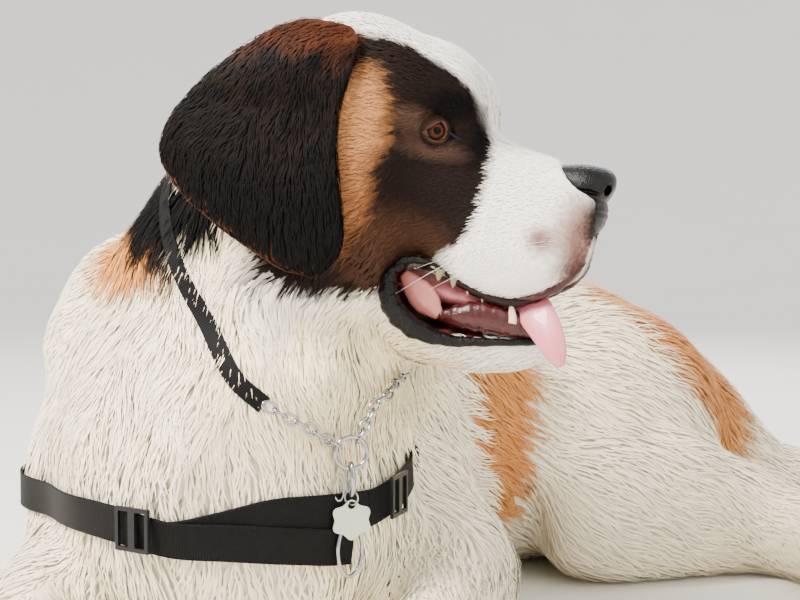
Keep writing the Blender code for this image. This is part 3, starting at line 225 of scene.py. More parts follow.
def coat_colours(obj: bpy.types.Object, colours: Array, along: Array) -> None:
    """Gives the vertices the Coat attribute: their colour and how far along the tuft they lie."""
    layer = obj.data.color_attributes.new("Coat", "FLOAT_COLOR", "POINT")
    values = np.column_stack([colours, along])
    layer.data.foreach_set("color", np.ascontiguousarray(values, np.float32).ravel())


BODY_DEPTH = 0.62
LIMB_DEPTH = 0.0065
PAWS = (
    ((0.098, -0.380, 0.029), (0.086, -0.100, 0.0)),
    ((0.336, -0.176, 0.029), (0.066, -0.107, 0.0)),
    ((0.462, 0.490, 0.029), (0.084, -0.063, 0.0)),
    ((-0.252, 0.540, 0.029), (-0.043, -0.100, 0.0)),
)
TOES = ((0.046, 0.0125), (0.030, 0.0370))


class Piece(Enum):
    """The pieces of the dog's coat, in the order in which they grow."""

    FACE = "face"
    CROWN = "crown"
    RUFF_RIGHT = "ruff_right"
    RUFF_LEFT = "ruff_left"
    CHEST = "chest"
    FLANK_LEFT = "flank_left"
    FLANK_RIGHT = "flank_right"
    TAIL = "tail"


@dataclass(frozen=True)
class Guide:
    """How the coat lies near a place.

    Attributes:
        at: The place, in the model's frame.
        way: The direction in which the hair points.
        length: The length of a tuft.
        depth: How deep the coat is, from the skin to its outline.
        width: How wide a tuft is.
    """

    at: tuple[float, float, float]
    way: tuple[float, float, float]
    length: float
    depth: float
    width: float


# Place, way, length, depth and width, in the head's frame and for its left side.
HEAD_ROWS = (
    ((0.128, 0.020, -0.060), (-0.5, 0.6, -0.6), 0.0040, 0.0012, 0.0009),
    ((0.100, 0.012, -0.008), (-1.0, 0.25, 0.1), 0.0060, 0.0014, 0.0010),
    ((0.060, 0.014, 0.000), (-1.0, 0.15, 0.3), 0.0070, 0.0015, 0.0011),
    ((0.095, 0.048, -0.055), (-1.0, 0.1, -0.35), 0.0065, 0.0015, 0.0011),
    ((0.055, 0.052, -0.060), (-1.0, 0.1, -0.35), 0.0080, 0.0016, 0.0012),
    ((0.100, 0.048, -0.100), (-0.7, 0.0, -0.8), 0.0065, 0.0014, 0.0011),
    ((0.050, 0.056, -0.100), (-0.7, 0.0, -0.7), 0.0080, 0.0016, 0.0012),
    ((0.030, 0.012, 0.040), (-0.9, 0.2, 0.5), 0.0085, 0.0018, 0.0013),
    ((-0.010, 0.014, 0.074), (-1.0, 0.2, 0.2), 0.0105, 0.0022, 0.0015),
    ((0.018, 0.044, 0.022), (-0.6, 0.6, 0.5), 0.0070, 0.0016, 0.0012),
    ((0.024, 0.045, -0.012), (-0.8, 0.2, -0.4), 0.0060, 0.0014, 0.0011),
    ((-0.010, 0.062, -0.020), (-0.9, 0.1, -0.5), 0.0075, 0.0016, 0.0012),
    ((-0.035, 0.075, 0.020), (-1.0, 0.1, 0.0), 0.0100, 0.0020, 0.0014),
    ((-0.040, 0.050, 0.065), (-1.0, 0.4, 0.1), 0.0120, 0.0024, 0.0015),
    ((-0.100, 0.020, 0.082), (-1.0, 0.2, -0.1), 0.0160, 0.0035, 0.0018),
    ((-0.040, 0.092, -0.045), (-0.8, 0.1, -0.7), 0.0130, 0.0024, 0.0016),
    ((-0.045, 0.090, -0.095), (-0.7, 0.1, -0.8), 0.0170, 0.0035, 0.0020),
    ((0.000, 0.070, -0.080), (-0.9, 0.1, -0.6), 0.0100, 0.0018, 0.0014),
    ((-0.045, 0.070, -0.140), (-0.6, 0.1, -0.9), 0.0260, 0.0060, 0.0026),
    ((0.110, 0.010, -0.165), (-0.8, 0.2, -0.7), 0.0070, 0.0016, 0.0012),
    ((0.060, 0.030, -0.182), (-0.9, 0.1, -0.5), 0.0120, 0.0025, 0.0016),
    ((0.010, 0.040, -0.187), (-0.8, 0.1, -0.6), 0.0190, 0.0040, 0.0020),
    ((0.030, 0.050, -0.172), (-0.8, 0.1, -0.6), 0.0120, 0.0022, 0.0015),
    ((-0.110, 0.085, -0.030), (-0.9, 0.1, -0.6), 0.0200, 0.0050, 0.0022),
    ((-0.150, 0.030, 0.020), (-0.8, 0.2, -0.8), 0.0300, 0.0080, 0.0030),
    ((-0.110, 0.070, -0.120), (-0.5, 0.2, -0.9), 0.0340, 0.0100, 0.0034),
)
EAR_ROWS = (
    ((-0.085, 0.070, 0.060), (-0.5, 0.3, -0.8), 0.013, 0.0022, 0.0016),
    ((-0.120, 0.090, 0.020), (-0.4, 0.1, -0.9), 0.017, 0.0022, 0.0018),
    ((-0.080, 0.098, 0.000), (0.1, 0.0, -1.0), 0.016, 0.0020, 0.0017),
    ((-0.180, 0.095, -0.030), (-0.6, 0.0, -0.8), 0.022, 0.0024, 0.0020),
    ((-0.100, 0.105, -0.060), (0.1, 0.0, -1.0), 0.022, 0.0024, 0.0020),
    ((-0.190, 0.100, -0.080), (0.2, 0.0, -0.9), 0.026, 0.0026, 0.0022),
    ((-0.080, 0.100, -0.115), (0.2, 0.0, -0.9), 0.026, 0.0026, 0.0022),
)
# The same in the model's frame: the neck, the ruff, the chest, the back, the flanks and the hips.
BODY_ROWS = (
    ((0.030, -0.030, 0.560), (-0.5, 0.3, -0.8), 0.034, 0.010, 0.0032),
    ((0.040, -0.150, 0.450), (-0.5, -0.2, -0.9), 0.040, 0.012, 0.0034),
    ((0.110, -0.180, 0.400), (0.0, -0.2, -1.0), 0.042, 0.012, 0.0034),
    ((0.180, -0.150, 0.330), (0.3, -0.2, -1.0), 0.044, 0.013, 0.0034),
    ((0.225, -0.060, 0.300), (0.2, 0.1, -1.0), 0.044, 0.013, 0.0034),
    ((0.190, 0.060, 0.330), (0.2, 0.4, -0.9), 0.042, 0.012, 0.0034),
    ((0.060, 0.060, 0.470), (-0.4, 0.7, -0.7), 0.040, 0.012, 0.0034),
    ((0.110, -0.200, 0.300), (0.1, -0.2, -1.0), 0.050, 0.014, 0.0036),
    ((0.200, -0.140, 0.250), (0.2, -0.1, -1.0), 0.050, 0.014, 0.0036),
    ((0.220, -0.060, 0.210), (0.1, 0.1, -1.0), 0.050, 0.013, 0.0036),
    ((0.190, -0.150, 0.140), (0.1, -0.1, -1.0), 0.048, 0.012, 0.0036),
    ((0.060, -0.220, 0.200), (-0.1, -0.1, -1.0), 0.050, 0.013, 0.0036),
    ((-0.050, -0.200, 0.240), (-0.4, 0.0, -0.9), 0.048, 0.013, 0.0036),
    ((-0.050, -0.200, 0.120), (-0.3, 0.0, -0.9), 0.044, 0.011, 0.0034),
    ((-0.100, -0.120, 0.370), (-0.6, 0.3, -0.6), 0.044, 0.012, 0.0034),
    ((-0.030, 0.000, 0.420), (-0.4, 0.9, -0.1), 0.040, 0.011, 0.0034),
    ((-0.180, 0.000, 0.300), (-0.4, 0.6, -0.8), 0.044, 0.011, 0.0034),
    ((-0.200, 0.000, 0.120), (-0.1, 0.6, -0.8), 0.042, 0.010, 0.0034),
    ((0.150, 0.100, 0.300), (0.3, 0.7, -0.7), 0.042, 0.011, 0.0034),
    ((0.190, 0.110, 0.180), (0.2, 0.6, -0.8), 0.042, 0.010, 0.0034),
    ((-0.080, 0.220, 0.410), (0.0, 1.0, 0.0), 0.036, 0.009, 0.0032),
    ((0.090, 0.230, 0.230), (0.1, 0.8, -0.6), 0.042, 0.010, 0.0034),
    ((0.080, 0.230, 0.080), (0.0, 0.9, -0.4), 0.046, 0.010, 0.0034),
    ((-0.250, 0.230, 0.230), (-0.1, 0.8, -0.6), 0.042, 0.010, 0.0034),
    ((-0.250, 0.230, 0.080), (0.0, 0.9, -0.4), 0.046, 0.010, 0.0034),
    ((-0.050, 0.420, 0.380), (0.1, 1.0, -0.1), 0.036, 0.009, 0.0032),
    ((0.105, 0.400, 0.230), (0.2, 0.8, -0.6), 0.042, 0.011, 0.0034),
    ((0.150, 0.420, 0.120), (0.3, 0.7, -0.6), 0.046, 0.012, 0.0036),
    ((-0.220, 0.420, 0.200), (-0.1, 0.8, -0.6), 0.042, 0.011, 0.0034),
    ((0.000, 0.570, 0.350), (0.2, 0.9, -0.3), 0.038, 0.010, 0.0032),
    ((0.170, 0.560, 0.260), (0.3, 0.7, -0.6), 0.044, 0.011, 0.0034),
    ((0.200, 0.620, 0.140), (0.3, 0.5, -0.8), 0.050, 0.013, 0.0036),
    ((-0.220, 0.620, 0.150), (-0.2, 0.8, -0.7), 0.046, 0.012, 0.0036),
    ((0.060, 0.730, 0.250), (0.3, 0.8, -0.6), 0.046, 0.013, 0.0036),
    ((-0.030, 0.760, 0.130), (0.1, 0.6, -0.9), 0.055, 0.015, 0.0038),
    ((0.140, 0.740, 0.180), (0.6, 0.7, -0.4), 0.052, 0.014, 0.0036),
)
# The waypoints of the forelegs, the hind legs and the tail, and the length of the coat at each.
LIMBS = (
    (((-0.175, 0.015, 0.070), (-0.150, -0.045, 0.075), (-0.060, -0.190, 0.060), (0.046, -0.319, 0.044),
      (0.132, -0.419, 0.028)), (0.030, 0.030, 0.028, 0.016, 0.009)),
    (((0.122, 0.205, 0.070), (0.152, 0.145, 0.075), (0.225, 0.015, 0.060), (0.296, -0.111, 0.044),
      (0.362, -0.218, 0.028)), (0.030, 0.030, 0.028, 0.016, 0.009)),
    (((0.125, 0.450, 0.085), (0.200, 0.540, 0.075), (0.262, 0.606, 0.058), (0.330, 0.585, 0.044),
      (0.412, 0.527, 0.038), (0.496, 0.464, 0.026)), (0.040, 0.036, 0.030, 0.022, 0.014, 0.009)),
    (((-0.140, 0.800, 0.044), (-0.172, 0.720, 0.048), (-0.225, 0.600, 0.042), (-0.268, 0.500, 0.028)),
     (0.026, 0.022, 0.014, 0.009)),
    (((0.150, 0.760, 0.080), (0.232, 0.841, 0.052), (0.312, 0.916, 0.046), (0.425, 0.967, 0.042),
      (0.541, 0.981, 0.034), (0.620, 0.955, 0.024)), (0.050, 0.055, 0.060, 0.065, 0.065, 0.055)),
)


def head_guides(rows: tuple) -> list[Guide]:
    """Returns guides for both sides of the head from the rows of one side."""
    made = []
    for at, way, *sizes in rows:
        for side in (-1, 1):
            flip = np.array([1, side, 1])
            made.append(Guide(tuple(from_head(flip * at)), tuple(HEAD_AXES @ unit(flip * way)), *sizes))
    return made


def limb_guides() -> list[Guide]:
    """Returns guides along the legs and the tail: towards the tip, and a little down."""
    made = []
    for path, lengths in LIMBS:
        points = np.array(path)
        ways = unit(unit(np.gradient(points, axis=0)) + np.array([0.0, 0.0, -0.25]))
        for at, way, length in zip(points, ways, lengths):
            depth = min(0.25 * length, LIMB_DEPTH)
            made.append(Guide(tuple(at), tuple(way), length, depth, 0.0011 + 0.055 * length))
    return made


def body_guides() -> list[Guide]:
    """Returns the guides of the trunk and the neck."""
    return [
        Guide(at, tuple(unit(np.array(way))), length, BODY_DEPTH * depth, width)
        for at, way, length, depth, width in BODY_ROWS
    ]


class Lie:
    """The way, length, depth and width of the coat anywhere, from guides near and far."""

    block = 40000

    def __init__(self, guides: list[Guide]) -> None:
        """Keeps the guides as arrays."""
        self.at = np.array([g.at for g in guides])
        self.facts = np.array([(*g.way, g.length, g.depth, g.width) for g in guides])

    def near(self, points: Array) -> Array:
        """Returns way (3), length, depth and width at points, weighted by distance to the power -5."""
        made = np.empty((len(points), 6))
        for start in range(0, len(points), self.block):
            some = points[start : start + self.block]
            gap = ((some**2).sum(1)[:, None] + (self.at**2).sum(1)[None] - 2 * some @ self.at.T).clip(1e-5)
            weight = gap**-2.5
            made[start : start + self.block] = weight @ self.facts / weight.sum(1, keepdims=True)
        return made


@dataclass(frozen=True)
class Patch:
    """A coloured patch of coat: an ellipsoid with a wavy, soft edge.

    Attributes:
        at: Its middle, in the head's frame if `on_head`.
        radii: Its radii along the same axes.
        colour: Display colour, 0 to 255.
        on_head: Whether the head's frame is meant, and both sides of the head.
        soft: The share of its radius over which it fades.
    """

    at: tuple[float, float, float]
    radii: tuple[float, float, float]
    colour: tuple[float, float, float]
    on_head: bool = True
    soft: float = 0.25


CREAM = (255, 240, 206)
WHITE = (255, 248, 236)
BLAZE_HALF = (
    (0.0, 0.015, 0.033, 0.046, 0.054, 0.062, 0.068), (0.024, 0.034, 0.041, 0.049, 0.053, 0.057, 0.055),
)
BLAZE_EDGE = (
    (-0.150, -0.105, -0.078, -0.040, -0.009, 0.022, 0.040, 0.056, 0.070, 0.080, 0.088),
    (-0.050, 0.016, 0.044, 0.050, 0.044, 0.036, 0.022, -0.002, -0.030, -0.066, -0.115),
)
DARK = (30, 21, 18)
TAN = (172, 116, 74)
BLACK_COAT = (9, 7, 7)
ORANGE = (202, 132, 74)
EAR_BROWN_SHEEN = (34, 24, 19)
EAR_RUST = (78, 43, 27)
EAR_TAN = (84, 52, 34)
EAR_EDGE = ((-0.21, -0.19, -0.14, -0.11, -0.075), (-0.055, -0.078, -0.104, -0.118, -0.128))
MASK_FADE = 0.006
PATCHES = (
    Patch((-0.010, 0.080, -0.098), (0.040, 0.050, 0.030), (70, 47, 36), soft=0.9),
    Patch((0.014, 0.055, 0.021), (0.024, 0.030, 0.010), (9, 6, 6), soft=0.8),
    Patch((0.035, 0.040, 0.004), (0.009, 0.020, 0.030), (12, 8, 8), soft=0.8),
    Patch((0.003, 0.060, -0.015), (0.024, 0.030, 0.008), (72, 54, 46), soft=1.0),
    Patch((-0.016, 0.070, 0.004), (0.010, 0.030, 0.010), (76, 56, 46), soft=1.0),
    Patch((-0.058, 0.090, -0.008), (0.026, 0.050, 0.042), TAN, soft=0.6),
    Patch((-0.053, 0.090, -0.066), (0.020, 0.050, 0.040), (150, 98, 62), soft=0.7),
    Patch((-0.030, 0.040, -0.210), (0.120, 0.100, 0.062), (252, 232, 188), soft=0.5),
    Patch((0.102, 0.050, -0.069), (0.012, 0.020, 0.010), (140, 110, 100), soft=1.1),
    Patch((0.124, 0.040, -0.056), (0.014, 0.020, 0.030), (190, 172, 164), soft=1.4),
    Patch((0.134, 0.032, -0.066), (0.021, 0.022, 0.036), (146, 108, 98), soft=1.0),
    Patch((0.134, 0.028, -0.088), (0.015, 0.020, 0.015), (90, 60, 56), soft=1.0),
    Patch((0.137, 0.008, -0.046), (0.018, 0.030, 0.020), (40, 31, 30), soft=0.5),
    Patch((-0.110, 0.075, 0.070), (0.040, 0.030, 0.030), (120, 66, 40), soft=0.5),
    Patch((0.004, -0.140, 0.396), (0.074, 0.070, 0.031), ORANGE, False, 0.5),
    Patch((0.045, -0.150, 0.444), (0.048, 0.056, 0.046), BLACK_COAT, False, 0.3),
    Patch((0.070, -0.170, 0.412), (0.016, 0.040, 0.030), (34, 24, 20), False, 0.5),
    Patch((-0.196, 0.066, -0.092), (0.042, 0.040, 0.030), BLACK_COAT, soft=0.4),
    Patch((0.080, 0.310, 0.225), (0.060, 0.046, 0.085), ORANGE, False, 0.2),
    Patch((0.085, 0.330, 0.130), (0.060, 0.026, 0.080), ORANGE, False, 0.3),
    Patch((0.120, 0.590, 0.300), (0.130, 0.078, 0.130), ORANGE, False, 0.3),
    Patch((0.170, 0.660, 0.220), (0.112, 0.066, 0.095), ORANGE, False, 0.35),
    Patch((-0.160, 0.330, 0.300), (0.120, 0.150, 0.110), ORANGE, False, 0.25),
    Patch((-0.060, 0.700, 0.230), (0.100, 0.100, 0.080), ORANGE, False, 0.3),
)


def blend(base: Array, colour: Array, amount: Array) -> Array:
    """Returns the base colours with the other colour laid over them by the amount."""
    return base * (1 - amount[:, None]) + np.asarray(colour) * amount[:, None]


def folded(local: Array) -> Array:
    """Returns points of the head's frame with the right side folded onto the left."""
    return np.column_stack([local[:, 0], np.abs(local[:, 1]), local[:, 2]])


def markings(points: Array) -> Array:
    """Returns the coat's linear colour at points of the model's frame.

    The base is cream white, whiter on the face. The mask lies behind the blaze's edge, a curve of
    how far forward it reaches at each height, and more than the blaze's half width off the middle.
    The half width grows up the forehead. The patches are laid over both.
    """
    local = to_head(points)
    wave = waves(points, 0.035, 3) * 0.10 + waves(points, 0.011, 5) * 0.05
    ahead, aside, up = folded(local).T
    on_head = fade(ahead, -0.13, 0.03) * fade(up, -0.20, 0.02) * fade(-aside, -0.15, 0.02)
    colours = np.tile(np.array(linear(*CREAM)), (len(points), 1))
    colours = blend(colours, linear(*WHITE), on_head)
    behind = np.clip(0.5 + (np.interp(up, *BLAZE_EDGE) + wave * 0.03 - ahead) / MASK_FADE, 0, 1)
    beside = np.clip(0.5 + (aside - np.interp(up, *BLAZE_HALF) + wave * 0.02) / MASK_FADE, 0, 1)
    above = np.clip(0.5 + (up + 0.138 + wave * 0.04) / (2 * MASK_FADE), 0, 1)
    colours = blend(colours, linear(*DARK), behind * beside * above * on_head)
    for patch in PATCHES:
        place = folded(local) if patch.on_head else points
        reach = np.linalg.norm((place - np.array(patch.at)) / np.array(patch.radii), axis=1) + wave
        amount = np.clip((1 + patch.soft / 2 - reach) / patch.soft, 0, 1)
        colours = blend(colours, linear(*patch.colour), amount)
    return colours


def ear_markings(points: Array) -> Array:
    """Returns the ear's linear colour: near black, patchily brown and more so towards the top, rusty over the
    top fold, tan along the lower edge. The brown is partly the fur's own and partly painted sheen.
    """
    local = to_head(points)
    wave = waves(points, 0.02, 7)
    colours = np.tile(np.array(linear(*BLACK_COAT)), (len(points), 1))
    # Patchy brown, stronger towards the top: partly the fur's own brown, partly painted sheen of the light on
    # the black coat.
    brown = np.clip(0.35 + wave * 0.4, 0, 1) * fade(local[:, 2], -0.07, 0.09)
    colours = blend(colours, linear(*EAR_BROWN_SHEEN), brown)
    top = np.clip((local[:, 2] - 0.034 + wave * 0.009) / 0.030, 0, 1)
    colours = blend(colours, linear(*EAR_RUST), top * 0.85)
    rim = np.clip(1 - (local[:, 2] - np.interp(local[:, 0], *EAR_EDGE) + wave * 0.003) / 0.006, 0, 1)
    return blend(colours, linear(*EAR_TAN), rim * 0.8)


LEAST_GROWN = 0.0005


class Hull:
    """A smooth closed surface around CAD nodes: their triangles made one by voxels, then smoothed."""

    def __init__(
        self, name: str, nodes: tuple[str, ...], voxel: float, passes: int,
        grown: Callable[[Array], Array] | None = None,
    ) -> None:
        """Joins copies of the nodes, grown so that their gaps close, and remeshes them.

        Args:
            name: The surface's name.
            nodes: The CAD nodes.
            voxel: The size of the voxels.
            passes: The passes of evening.
            grown: A function of points that says how far to grow them, or None for the least.
        """
        merged = bmesh.new()
        for node in nodes:
            copy = merged_copy(node, node)
            points, normals = (read(copy.vertices, what, 3, np.float32) for what in ("co", "normal"))
            by = grown(points) if grown else LEAST_GROWN
            copy.vertices.foreach_set("co", (points + normals * by).astype(np.float32).ravel())
            merged.from_mesh(copy)
            bpy.data.meshes.remove(copy)
        mesh = bpy.data.meshes.new(name)
        merged.to_mesh(mesh)
        merged.free()
        self.voxel = voxel
        self.remesh(mesh)
        self.points = self.relaxed(self.points, passes)

    def remesh(self, mesh: bpy.types.Mesh) -> None:
        """Takes the outer surface of a mesh by voxels, as points, faces of four and edges."""
        obj = bpy.data.objects.new(mesh.name, mesh)
        bpy.context.scene.collection.objects.link(obj)
        remesh = obj.modifiers.new("voxels", "REMESH")
        remesh.mode = "VOXEL"
        remesh.voxel_size = self.voxel
        graph = bpy.context.evaluated_depsgraph_get()
        whole = bpy.data.meshes.new_from_object(obj.evaluated_get(graph))
        bpy.data.objects.remove(obj)
        bpy.data.meshes.remove(mesh)
        self.points = read(whole.vertices, "co", 3)
        self.faces = read(whole.loops, "vertex_index", 1, np.int32).reshape(-1, 4)
        self.edges = read(whole.edges, "vertices", 2, np.int32)
        bpy.data.meshes.remove(whole)
        self.keep_outer()

    def remade(self, passes: int) -> None:
        """Remeshes the surface as it stands, which closes the thin tunnels left under the CAD's locks."""
        mesh = bpy.data.meshes.new("remade")
        mesh.from_pydata(self.points.tolist(), [], self.faces.tolist())
        self.remesh(mesh)
        self.points = self.relaxed(self.points, passes)

    def keep_outer(self) -> None:
        """Drops the walls left between nodes inside the body: only the largest connected surface stays."""
        label = np.arange(len(self.points))
        a, b = self.edges.T
        while True:
            lowest = label.copy()
            np.minimum.at(lowest, a, label[b])
            np.minimum.at(lowest, b, label[a])
            lowest = lowest[lowest]
            if (lowest == label).all():
                break
            label = lowest
        kept = label == np.bincount(label).argmax()
        place = np.cumsum(kept) - 1
        self.points = self.points[kept]
        self.faces = place[self.faces[kept[self.faces[:, 0]]]]
        self.edges = place[self.edges[kept[self.edges[:, 0]]]]

    def sanded(self, share: Array, rounds: int, passes: int) -> None:
        """Takes off what stands proud of the evened surface, as the ends of the CAD's locks do.

        Args:
            share: How much of it comes off at each vertex, 0 to 1.
            rounds: How many times over.
            passes: The passes of evening in each round.
        """
        for _ in range(rounds):
            gap = self.relaxed(self.points, passes) - self.points
            proud = (gap * self.normals()).sum(1, keepdims=True) < 0
            self.points = self.points + gap * share * proud

    def relaxed(self, values: Array, passes: int) -> Array:
        """Returns values of the vertices, each moved half way to its neighbours' mean, some times over."""
        a, b = self.edges.T
        count = len(values)
        share = np.bincount(a, minlength=count) + np.bincount(b, minlength=count)
        for _ in range(passes):
            sums = [
                np.bincount(a, values[b, k], count) + np.bincount(b, values[a, k], count)
                for k in range(values.shape[1])
            ]
            values = (values + np.stack(sums, 1) / share[:, None]) / 2
        return values

    def normals(self) -> Array:
        """Returns each vertex's outward normal, the sum of its faces' normals by area."""
        a, b, c, d = (self.points[self.faces[:, k]] for k in range(4))
        across = np.cross(c - a, d - b)
        made = np.zeros_like(self.points)
        for k in range(4):
            for axis in range(3):
                made[:, axis] += np.bincount(self.faces[:, k], across[:, axis], len(self.points))
        return unit(made)

    def tree(self) -> BVHTree:
        """Returns a tree that finds the nearest point of the surface."""
        return BVHTree.FromPolygons(self.points.tolist(), self.faces.tolist())

    def skin(self, name: str, colours: Array, material: bpy.types.Material) -> bpy.types.Object:
        """Makes the surface an object with its Coat colours and an unwrap of its own shape."""
        obj = mesh_object(name, self.points, self.faces)
        obj.data.uv_layers.new(name="OFBake")
        bpy.ops.object.select_all(action="DESELECT")
        obj.select_set(True)
        bpy.context.view_layer.objects.active = obj
        bpy.ops.object.mode_set(mode="EDIT")
        bpy.ops.mesh.select_all(action="SELECT")
        bpy.ops.uv.smart_project(angle_limit=math.radians(66), island_margin=0.0005)
        bpy.ops.object.mode_set(mode="OBJECT")
        coat_colours(obj, colours, np.ones(len(colours)))
        obj.data.materials.append(material)
        return obj


def nearest(tree: BVHTree, points: Array) -> tuple[Array, Array]:
    """Returns the nearest places of a surface and its normals there."""
    found = [tree.find_nearest(p) for p in points.tolist()]
    return np.array([tuple(f[0]) for f in found]), np.array([tuple(f[1]) for f in found])


@dataclass(frozen=True)
class TuftSizes:
    """How a patch of coat is made.

    Attributes:
        count: The number of tufts.
        steps: The number of rings along a tuft before its tip.
        spread: How far tufts turn away from the lie, at random.
        clump: The distance between the locks that tufts lean towards, 0 for none.
        wave: How far a lock waves from side to side, as a share of its length.
        fine: A factor on the guides' widths.
    """

    count: int
    steps: int = 3
    spread: float = 0.25
    clump: float = 0.0
    wave: float = 0.0
    fine: float = 1.0


class Coat:
    """Tufts rooted in a skin, each a thin closed blade that follows the skin along the lie.

    Attributes:
        root_depth: How deep in the skin a tuft starts.
        rise: How high in the coat's depth a tuft is, at even shares of its length.
        lengths: The range of the random factor on its length, as `depths`, `widths` and `shades` are
            for its height, width and colour.
        lock_turn: How much of the spread a lock turns as one.
        drift: How much of the spread all locks near a place turn.
        own_turn: How much of the spread a tuft turns within its lock.
        gather: How far tufts lean in to the middle of their lock.
    """

    root_depth = 0.0012
    rise = np.array([0.0, 0.55, 0.85, 1.0, 1.05])
    lengths = (0.7, 1.15)
    depths = (0.55, 1.0)
    widths = (0.7, 1.25)
    shades = (0.92, 1.06)
    lock_turn = 0.45
    drift = 1.4
    own_turn = 0.35
    gather = 0.55

    def __init__(
        self, hull: Hull, skin: bpy.types.Object, lie: Lie, colour_of: Callable[[Array], Array],
        material: bpy.types.Material,
    ) -> None:
        """Keeps the skin's surface as arrays, its unwrap and what the coat needs."""
        self.lie = lie
        self.colour_of = colour_of
        self.material = material
        self.tree = hull.tree()
        self.corners = hull.points[hull.faces]
        a, b, c, d = (self.corners[:, k] for k in range(4))
        self.area = np.linalg.norm(np.cross(c - a, d - b), axis=1) / 2
        self.uv = read(skin.data.uv_layers["OFBake"].uv, "vector", 2, np.float32).reshape(-1, 4, 2)

    def grow(self, name: str, chosen: Array, sizes: TuftSizes, seed: int) -> bpy.types.Object:
        """Makes one piece of coat.

        Args:
            name: The piece's name.
            chosen: A weight for each face of the skin, 0 where none grows.
            sizes: The number and form of the tufts.
            seed: The random draw's seed.

        Returns:
            The piece, one closed surface for each tuft.
        """
        rng = np.random.default_rng(seed)
        count = sizes.count
        total = np.cumsum(self.area * chosen)
        pick = np.searchsorted(total, (np.arange(count) + rng.random(count)) / count * total[-1])
        pick = np.minimum(pick, len(total) - 1)
        s, t = rng.random((2, count, 1))
        weight = np.stack([(1 - s) * (1 - t), s * (1 - t), s * t, (1 - s) * t], 1)
        roots = (self.corners[pick] * weight).sum(1)
        patch = (self.uv[pick] * weight).sum(1)
        facts = self.lie.near(roots)
        length = facts[:, 3:4] * rng.uniform(*self.lengths, (count, 1))
        depth = facts[:, 4:5] * rng.uniform(*self.depths, (count, 1))
        width = facts[:, 5:6] * rng.uniform(*self.widths, (count, 1)) * sizes.fine
        normal = nearest(self.tree, roots)[1]
        lean = self.lean(roots, facts, sizes, rng)
        path, normals, ways = [roots - normal * self.root_depth], [normal], []
        here = roots
        rise = self.rise[np.linspace(0, 4, sizes.steps + 1).astype(int)]
        for step in range(sizes.steps):
            field = self.lie.near(here)[:, :3] if step else facts[:, :3]
            way = unit(field - normal * (field * normal).sum(1, keepdims=True))
            curl = np.sin(lean[:, 1:2] + step * 1.9) * sizes.wave
            way = unit(way + np.cross(normal, way) * (lean[:, :1] + curl))
            here, normal = nearest(self.tree, here + way * length / sizes.steps)
            place = here + normal * (depth * rise[step + 1])
            place[:, 2] = np.maximum(place[:, 2], FLOOR_CLEAR + width[:, 0])
            path.append(place)
            normals.append(normal)
            ways.append(way)
        ways.append(ways[-1])
        obj = self.blades(name, np.stack(path), np.stack(normals), np.stack(ways), width)
        self.dress(obj, patch, roots, sizes.steps, rng)
        return obj

    def lean(self, roots: Array, facts: Array, sizes: TuftSizes, rng: np.random.Generator) -> Array:
        """Returns how far each tuft turns from the lie and the phase of its wave, alike within a lock."""
        own = rng.normal(0, sizes.spread, len(roots))
        phase = rng.uniform(0, TURN, len(roots))
        if not sizes.clump:
            return np.column_stack([own, phase])
        shift = waves(roots, sizes.clump * 4, 11)[:, None] * sizes.clump * 0.4
        cell = np.floor((roots + shift) / sizes.clump)
        code = (cell @ np.array([73856093, 19349663, 83492791])).astype(np.int64)
        _, lock = np.unique(code, return_inverse=True)
        size = lock.max() + 1
        share = np.bincount(lock, minlength=size)
        middle = np.stack([np.bincount(lock, roots[:, k], size) for k in range(3)], 1) / share[:, None]
        turn = rng.normal(0, sizes.spread, size)[lock] * self.lock_turn
        turn = turn + waves(roots, sizes.clump * 5, 21) * sizes.spread * self.drift
        normal = nearest(self.tree, roots)[1]
        side = unit(np.cross(normal, facts[:, :3]))
        inward = ((middle[lock] - roots) * side).sum(1) / facts[:, 3]
        shared = waves(roots, sizes.clump * 6, 23) * 3.0
        return np.column_stack([turn + inward * self.gather + own * self.own_turn, shared + own])

    @staticmethod
    def blades(name: str, path: Array, normals: Array, ways: Array, width: Array) -> bpy.types.Object:
        """Makes the blades from their paths: rings of three, then a point.

        The ring at share v of the length is `width * (0.75 + 0.9 v - 1.3 v^2)` wide. Its third
        corner stands over the other two by three tenths of half that width.

        Args:
            name: The piece's name.
            path: Each blade's middle, ring by ring and then at the tip.
            normals: The skin's normal at each of those places.
            ways: The way in which each blade runs there.
            width: Each blade's width.

        Returns:
            The blades as one object, shaded as the skin under them.
        """
        rings, count = len(path) - 1, path.shape[1]
        share = np.arange(rings) / rings
        broad = (0.75 + 0.9 * share - 1.3 * share**2)[:, None, None] * width[None] / 2
        side = np.cross(ways[:-1], normals[:-1])

        def joined(left: Array, right: Array, top: Array, tip: Array) -> Array:
            """Returns one row for each vertex of each blade."""
            corners = np.stack([left, right, top], 2).transpose(1, 0, 2, 3).reshape(count, -1, 3)
            return np.concatenate([corners, tip[:, None]], 1).reshape(-1, 3)

        base, up = path[:-1], normals[:-1]
        points = joined(base + side * broad, base - side * broad, base + up * broad * 0.3, path[-1])
        one = Coat.blade_faces(rings)
        faces = one[None] + (np.arange(count) * (rings * 3 + 1))[:, None, None]
        obj = mesh_object(name, points, faces.reshape(-1, 3))
        outward = joined(up + side * 0.22, up - side * 0.22, up, normals[-1])
        obj.data.normals_split_custom_set_from_vertices(unit(outward).tolist())
        return obj

    @staticmethod
    def blade_faces(rings: int) -> Array:
        """Returns the triangles of one blade: between its rings, at its tip and over its root."""
        quads = tube_faces(rings, 3)
        k = np.arange(3)
        base = (rings - 1) * 3
        tip = np.stack([base + k, base + (k + 1) % 3, np.full(3, rings * 3)], -1)
        return np.concatenate([quads[:, :3], quads[:, [0, 2, 3]], tip, [[0, 2, 1]]])

